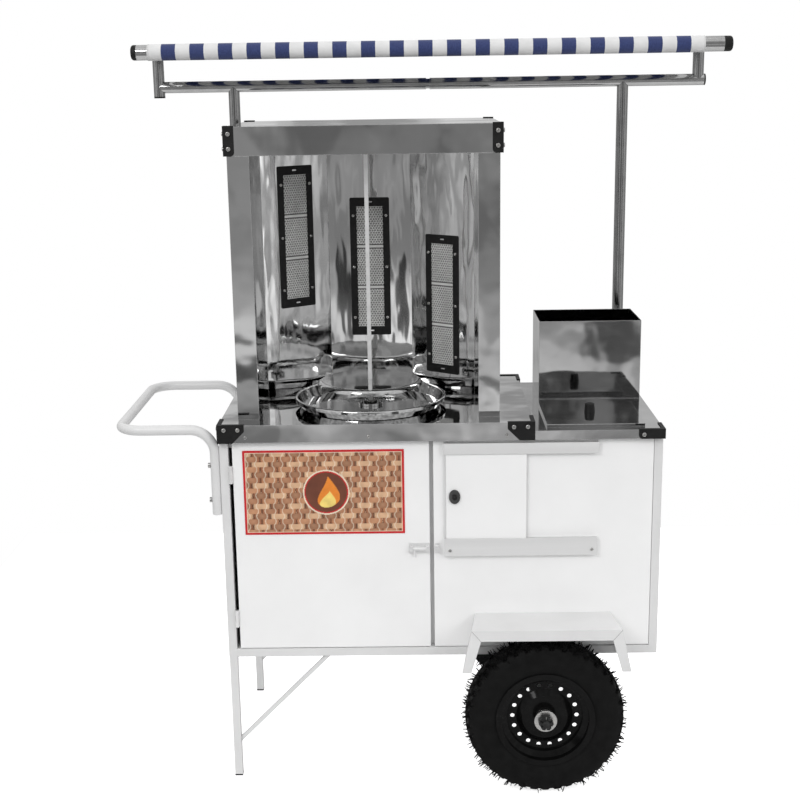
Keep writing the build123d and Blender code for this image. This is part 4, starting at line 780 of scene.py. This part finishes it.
def burner_frame(side):
    """Middle, sideways and outward directions of the reflector that carries a burner."""
    if side == 0:
        return Vector((machine_x, centre_low.y, 0)), Vector((1, 0, 0)), Vector((0, -1, 0))
    inner = (centre_high.x - centre_low.x) / 2
    outer = (sides_high.x - sides_low.x) / 2
    depth = centre_low.y - sides_low.y
    width = hypot(outer - inner, depth)
    along = Vector(((outer - inner) / width, -side * depth / width, 0))
    middle = Vector((machine_x + side * (inner + outer) / 2, centre_low.y - depth / 2, 0))
    return middle, along, Vector((along.y, -along.x, 0))


def tile_relief(u, v):
    """Depth below the tile's face, and a tone with painted shade in the cups, at a place measured from the
    stack's middle.
    """
    from_joint = abs(abs(v) - tile_pitch / 2)
    if from_joint < joint_half:
        return (joint_depth, joint_tone) if from_joint > joint_bar_half else (0.0, tile_tone)
    row = round(v / cup_row_pitch)
    shift = cup_pitch / 2 if row % 2 else 0.0
    du = u - shift - cup_pitch * round((u - shift) / cup_pitch)
    dv = v - row * cup_row_pitch
    reach = hypot(du, dv) / cup_radius
    if reach < 1:
        # Painted shade: a cup is darkest in its middle and lighter towards its rim
        return cup_depth * sqrt(1 - reach * reach), cup_shade_tone + cup_shade_fade * reach
    return 0.0, tile_tone


def ceramic_material():
    material = finish(
        "burner_ceramic", grey(0.5), grey(0.6), rough=(0.75, 0.9), patch=200, relief=[(900, 0.0002)]
    )
    return colour_by_points(material, "cups", patch=25, detail=3.0, darkest=0.8)


def make_tiles():
    stack_height = tile_count * tile_pitch
    columns = int(2 * tile_half_width / tile_step) + 1
    rows = int(stack_height / tile_step) + 1
    vertices = []
    faces = []
    tones = []
    for side, rise in burner_rises.items():
        middle, along, outward = burner_frame(side)
        middle = middle + Vector((0, 0, chamber_mid + rise))
        first = len(vertices)
        for row in range(rows):
            v = stack_height * (row / (rows - 1) - 0.5)
            for column in range(columns):
                u = 2 * tile_half_width * (column / (columns - 1) - 0.5)
                depth, tone = tile_relief(u, v)
                if row in (0, rows - 1) or column in (0, columns - 1):
                    depth = tile_depth
                vertices.append(middle + along * u + Vector((0, 0, v)) - outward * depth)
                tones.extend((tone, tone, tone * tile_blue, 1.0))
        for face in grid_faces(rows, columns):
            faces.append(tuple(first + corner for corner in face))
    piece = new_piece("burner_tile_faces", vertices, faces, ceramic_material(), "cart", True)
    paint_points(piece, "cups", tones)
    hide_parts("burner_tiles")


make_tiles()


# Fenders: mitre seams across the front lip's upper corners
def make_seams():
    low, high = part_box("wheel_fenders")
    wheel_x = (low.x + high.x) / 2
    half_top = 0.185
    side_lip = 0.023
    front_lip = 0.027
    half_seam = 0.0005
    seam_stand = 0.0003
    vertices = []
    faces = []
    for face_y in (low.y - seam_stand, high.y + seam_stand):
        for side in (-1, 1):
            corner = Vector((wheel_x + side * half_top, face_y, high.z))
            mouth = Vector((wheel_x + side * (half_top - side_lip), face_y, high.z - front_lip))
            aside = Vector((0, 1, 0)).cross(mouth - corner).normalized() * half_seam
            first = len(vertices)
            vertices += [corner - aside, corner + aside, mouth + aside, mouth - aside]
            faces.append((first, first + 1, first + 2, first + 3))
    seam_shade = finish(
        "painted_seam", grey(0.25), grey(0.35), rough=(0.5, 0.6), patch=200, relief=[(900, 0.00005)]
    )
    piece = new_piece("fender_seams", vertices, faces, seam_shade, "cart")


make_seams()

# Door sign: a red border round rows of brown and cream scales, with a round flame badge
sign_low, sign_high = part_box("door_sign")
sign_width = sign_high.x - sign_low.x
sign_height = sign_high.z - sign_low.z
print_step = 0.00125
print_stand = 0.0002
border_width = 0.0055
border_line_end = 0.0075
sign_red = Vector((0.62, 0.015, 0.02))
sign_cream = Vector((0.9, 0.78, 0.6))
# Scales: the rims and light bands are shares of the radius
scale_radius = 0.0215
scale_rise = 0.0135
scale_colours = [
    Vector((0.26, 0.09, 0.04)), Vector((0.5, 0.21, 0.1)),
    Vector((0.7, 0.43, 0.26)), Vector((0.36, 0.13, 0.06)),
]
scale_light = Vector((0.78, 0.5, 0.3))
scale_cut = 0.75
scale_rim = 0.9
scale_rim_shade = 0.45
scale_band = (0.55, 0.68)
scale_band_share = 0.55
scale_light_share = 0.35
# Badge: the place of its middle on the sign, and the radii of its rings
badge_x = 0.205
badge_z = 0.109
badge_radius = 0.058
badge_line_radius = 0.0545
badge_field_radius = 0.0515
badge_brown = Vector((0.17, 0.05, 0.025))
# Flame: an orange drop with a smaller yellow one in its foot
flame_foot = 0.04
flame_height = 0.082
flame_lean = 0.009
flame_wave = 2.6
flame_width = 0.085
flame_orange = Vector((0.85, 0.26, 0.03))
core_width = 0.062
core_stretch = 1.9
core_top = 0.52
core_yellow = Vector((0.95, 0.72, 0.2))
drop_fullness = 0.36
drop_sharpness = 0.62
drop_taper = 0.35


def scale_colour(u, v):
    """Colour of the overlapping scales: the lowest row that covers a point shows."""
    low_row = int(v // scale_rise) - 1
    for row in range(low_row, low_row + 4):
        shift = scale_radius if row % 2 else 0.0
        column = round((u - shift) / (2 * scale_radius))
        du = u - shift - column * 2 * scale_radius
        dv = v - row * scale_rise - scale_radius
        distance = sqrt(du * du + dv * dv) / scale_radius
        if distance <= 1.0 and dv < scale_cut * scale_radius:
            base = scale_colours[(3 * row + 2 * column) % len(scale_colours)]
            if distance > scale_rim:
                return base * scale_rim_shade
            if scale_band[0] < distance < scale_band[1]:
                return base.lerp(sign_cream, scale_band_share)
            return base.lerp(scale_light, scale_light_share * (1 - distance))
    return scale_colours[0]


def drop_outline(height):
    """Half width of a drop at a share of its height, as a share of its size."""
    return drop_fullness * sin(pi * min(1.0, height) ** drop_sharpness) * (1 - drop_taper * height)


def badge_colour(place):
    """Colour of the badge at a place measured from its middle."""
    if place.length > badge_line_radius:
        return sign_cream
    if place.length > badge_field_radius:
        return sign_red
    height = (place.y + flame_foot) / flame_height
    if 0 <= height <= 1:
        from_middle = abs(place.x - flame_lean * sin(flame_wave * height))
        if height < core_top and from_middle < core_width * drop_outline(height * core_stretch):
            return core_yellow
        if from_middle < flame_width * drop_outline(height):
            return flame_orange
    return badge_brown


def sign_colour(u, v):
    """Colour of the sign at a place measured from its lower left corner."""
    border = min(u, v, sign_width - u, sign_height - v)
    if border < border_width:
        return sign_red
    if border < border_line_end:
        return sign_cream
    on_badge = Vector((u - badge_x, v - badge_z))
    if on_badge.length < badge_radius:
        return badge_colour(on_badge)
    return scale_colour(u, v)


def sign_material():
    material = finish(
        "printed_sign", grey(0.5), grey(0.5), rough=(0.3, 0.4), patch=20,
        relief=[print_ripple], Coat_Weight=0.1,
    )
    return colour_by_points(material, "print", patch=55, detail=4.0, darkest=0.78)


def make_sign():
    columns = int(sign_width / print_step) + 1
    rows = int(sign_height / print_step) + 1
    vertices = []
    colours = []
    for row in range(rows):
        v = sign_height * row / (rows - 1)
        for column in range(columns):
            u = sign_width * column / (columns - 1)
            vertices.append((sign_low.x + u, sign_low.y - print_stand, sign_low.z + v))
            colours.extend((*sign_colour(u, v), 1.0))
    piece = new_piece("sign_face", vertices, grid_faces(rows, columns), sign_material(), "cabinet_door")
    paint_points(piece, "print", colours)


make_sign()
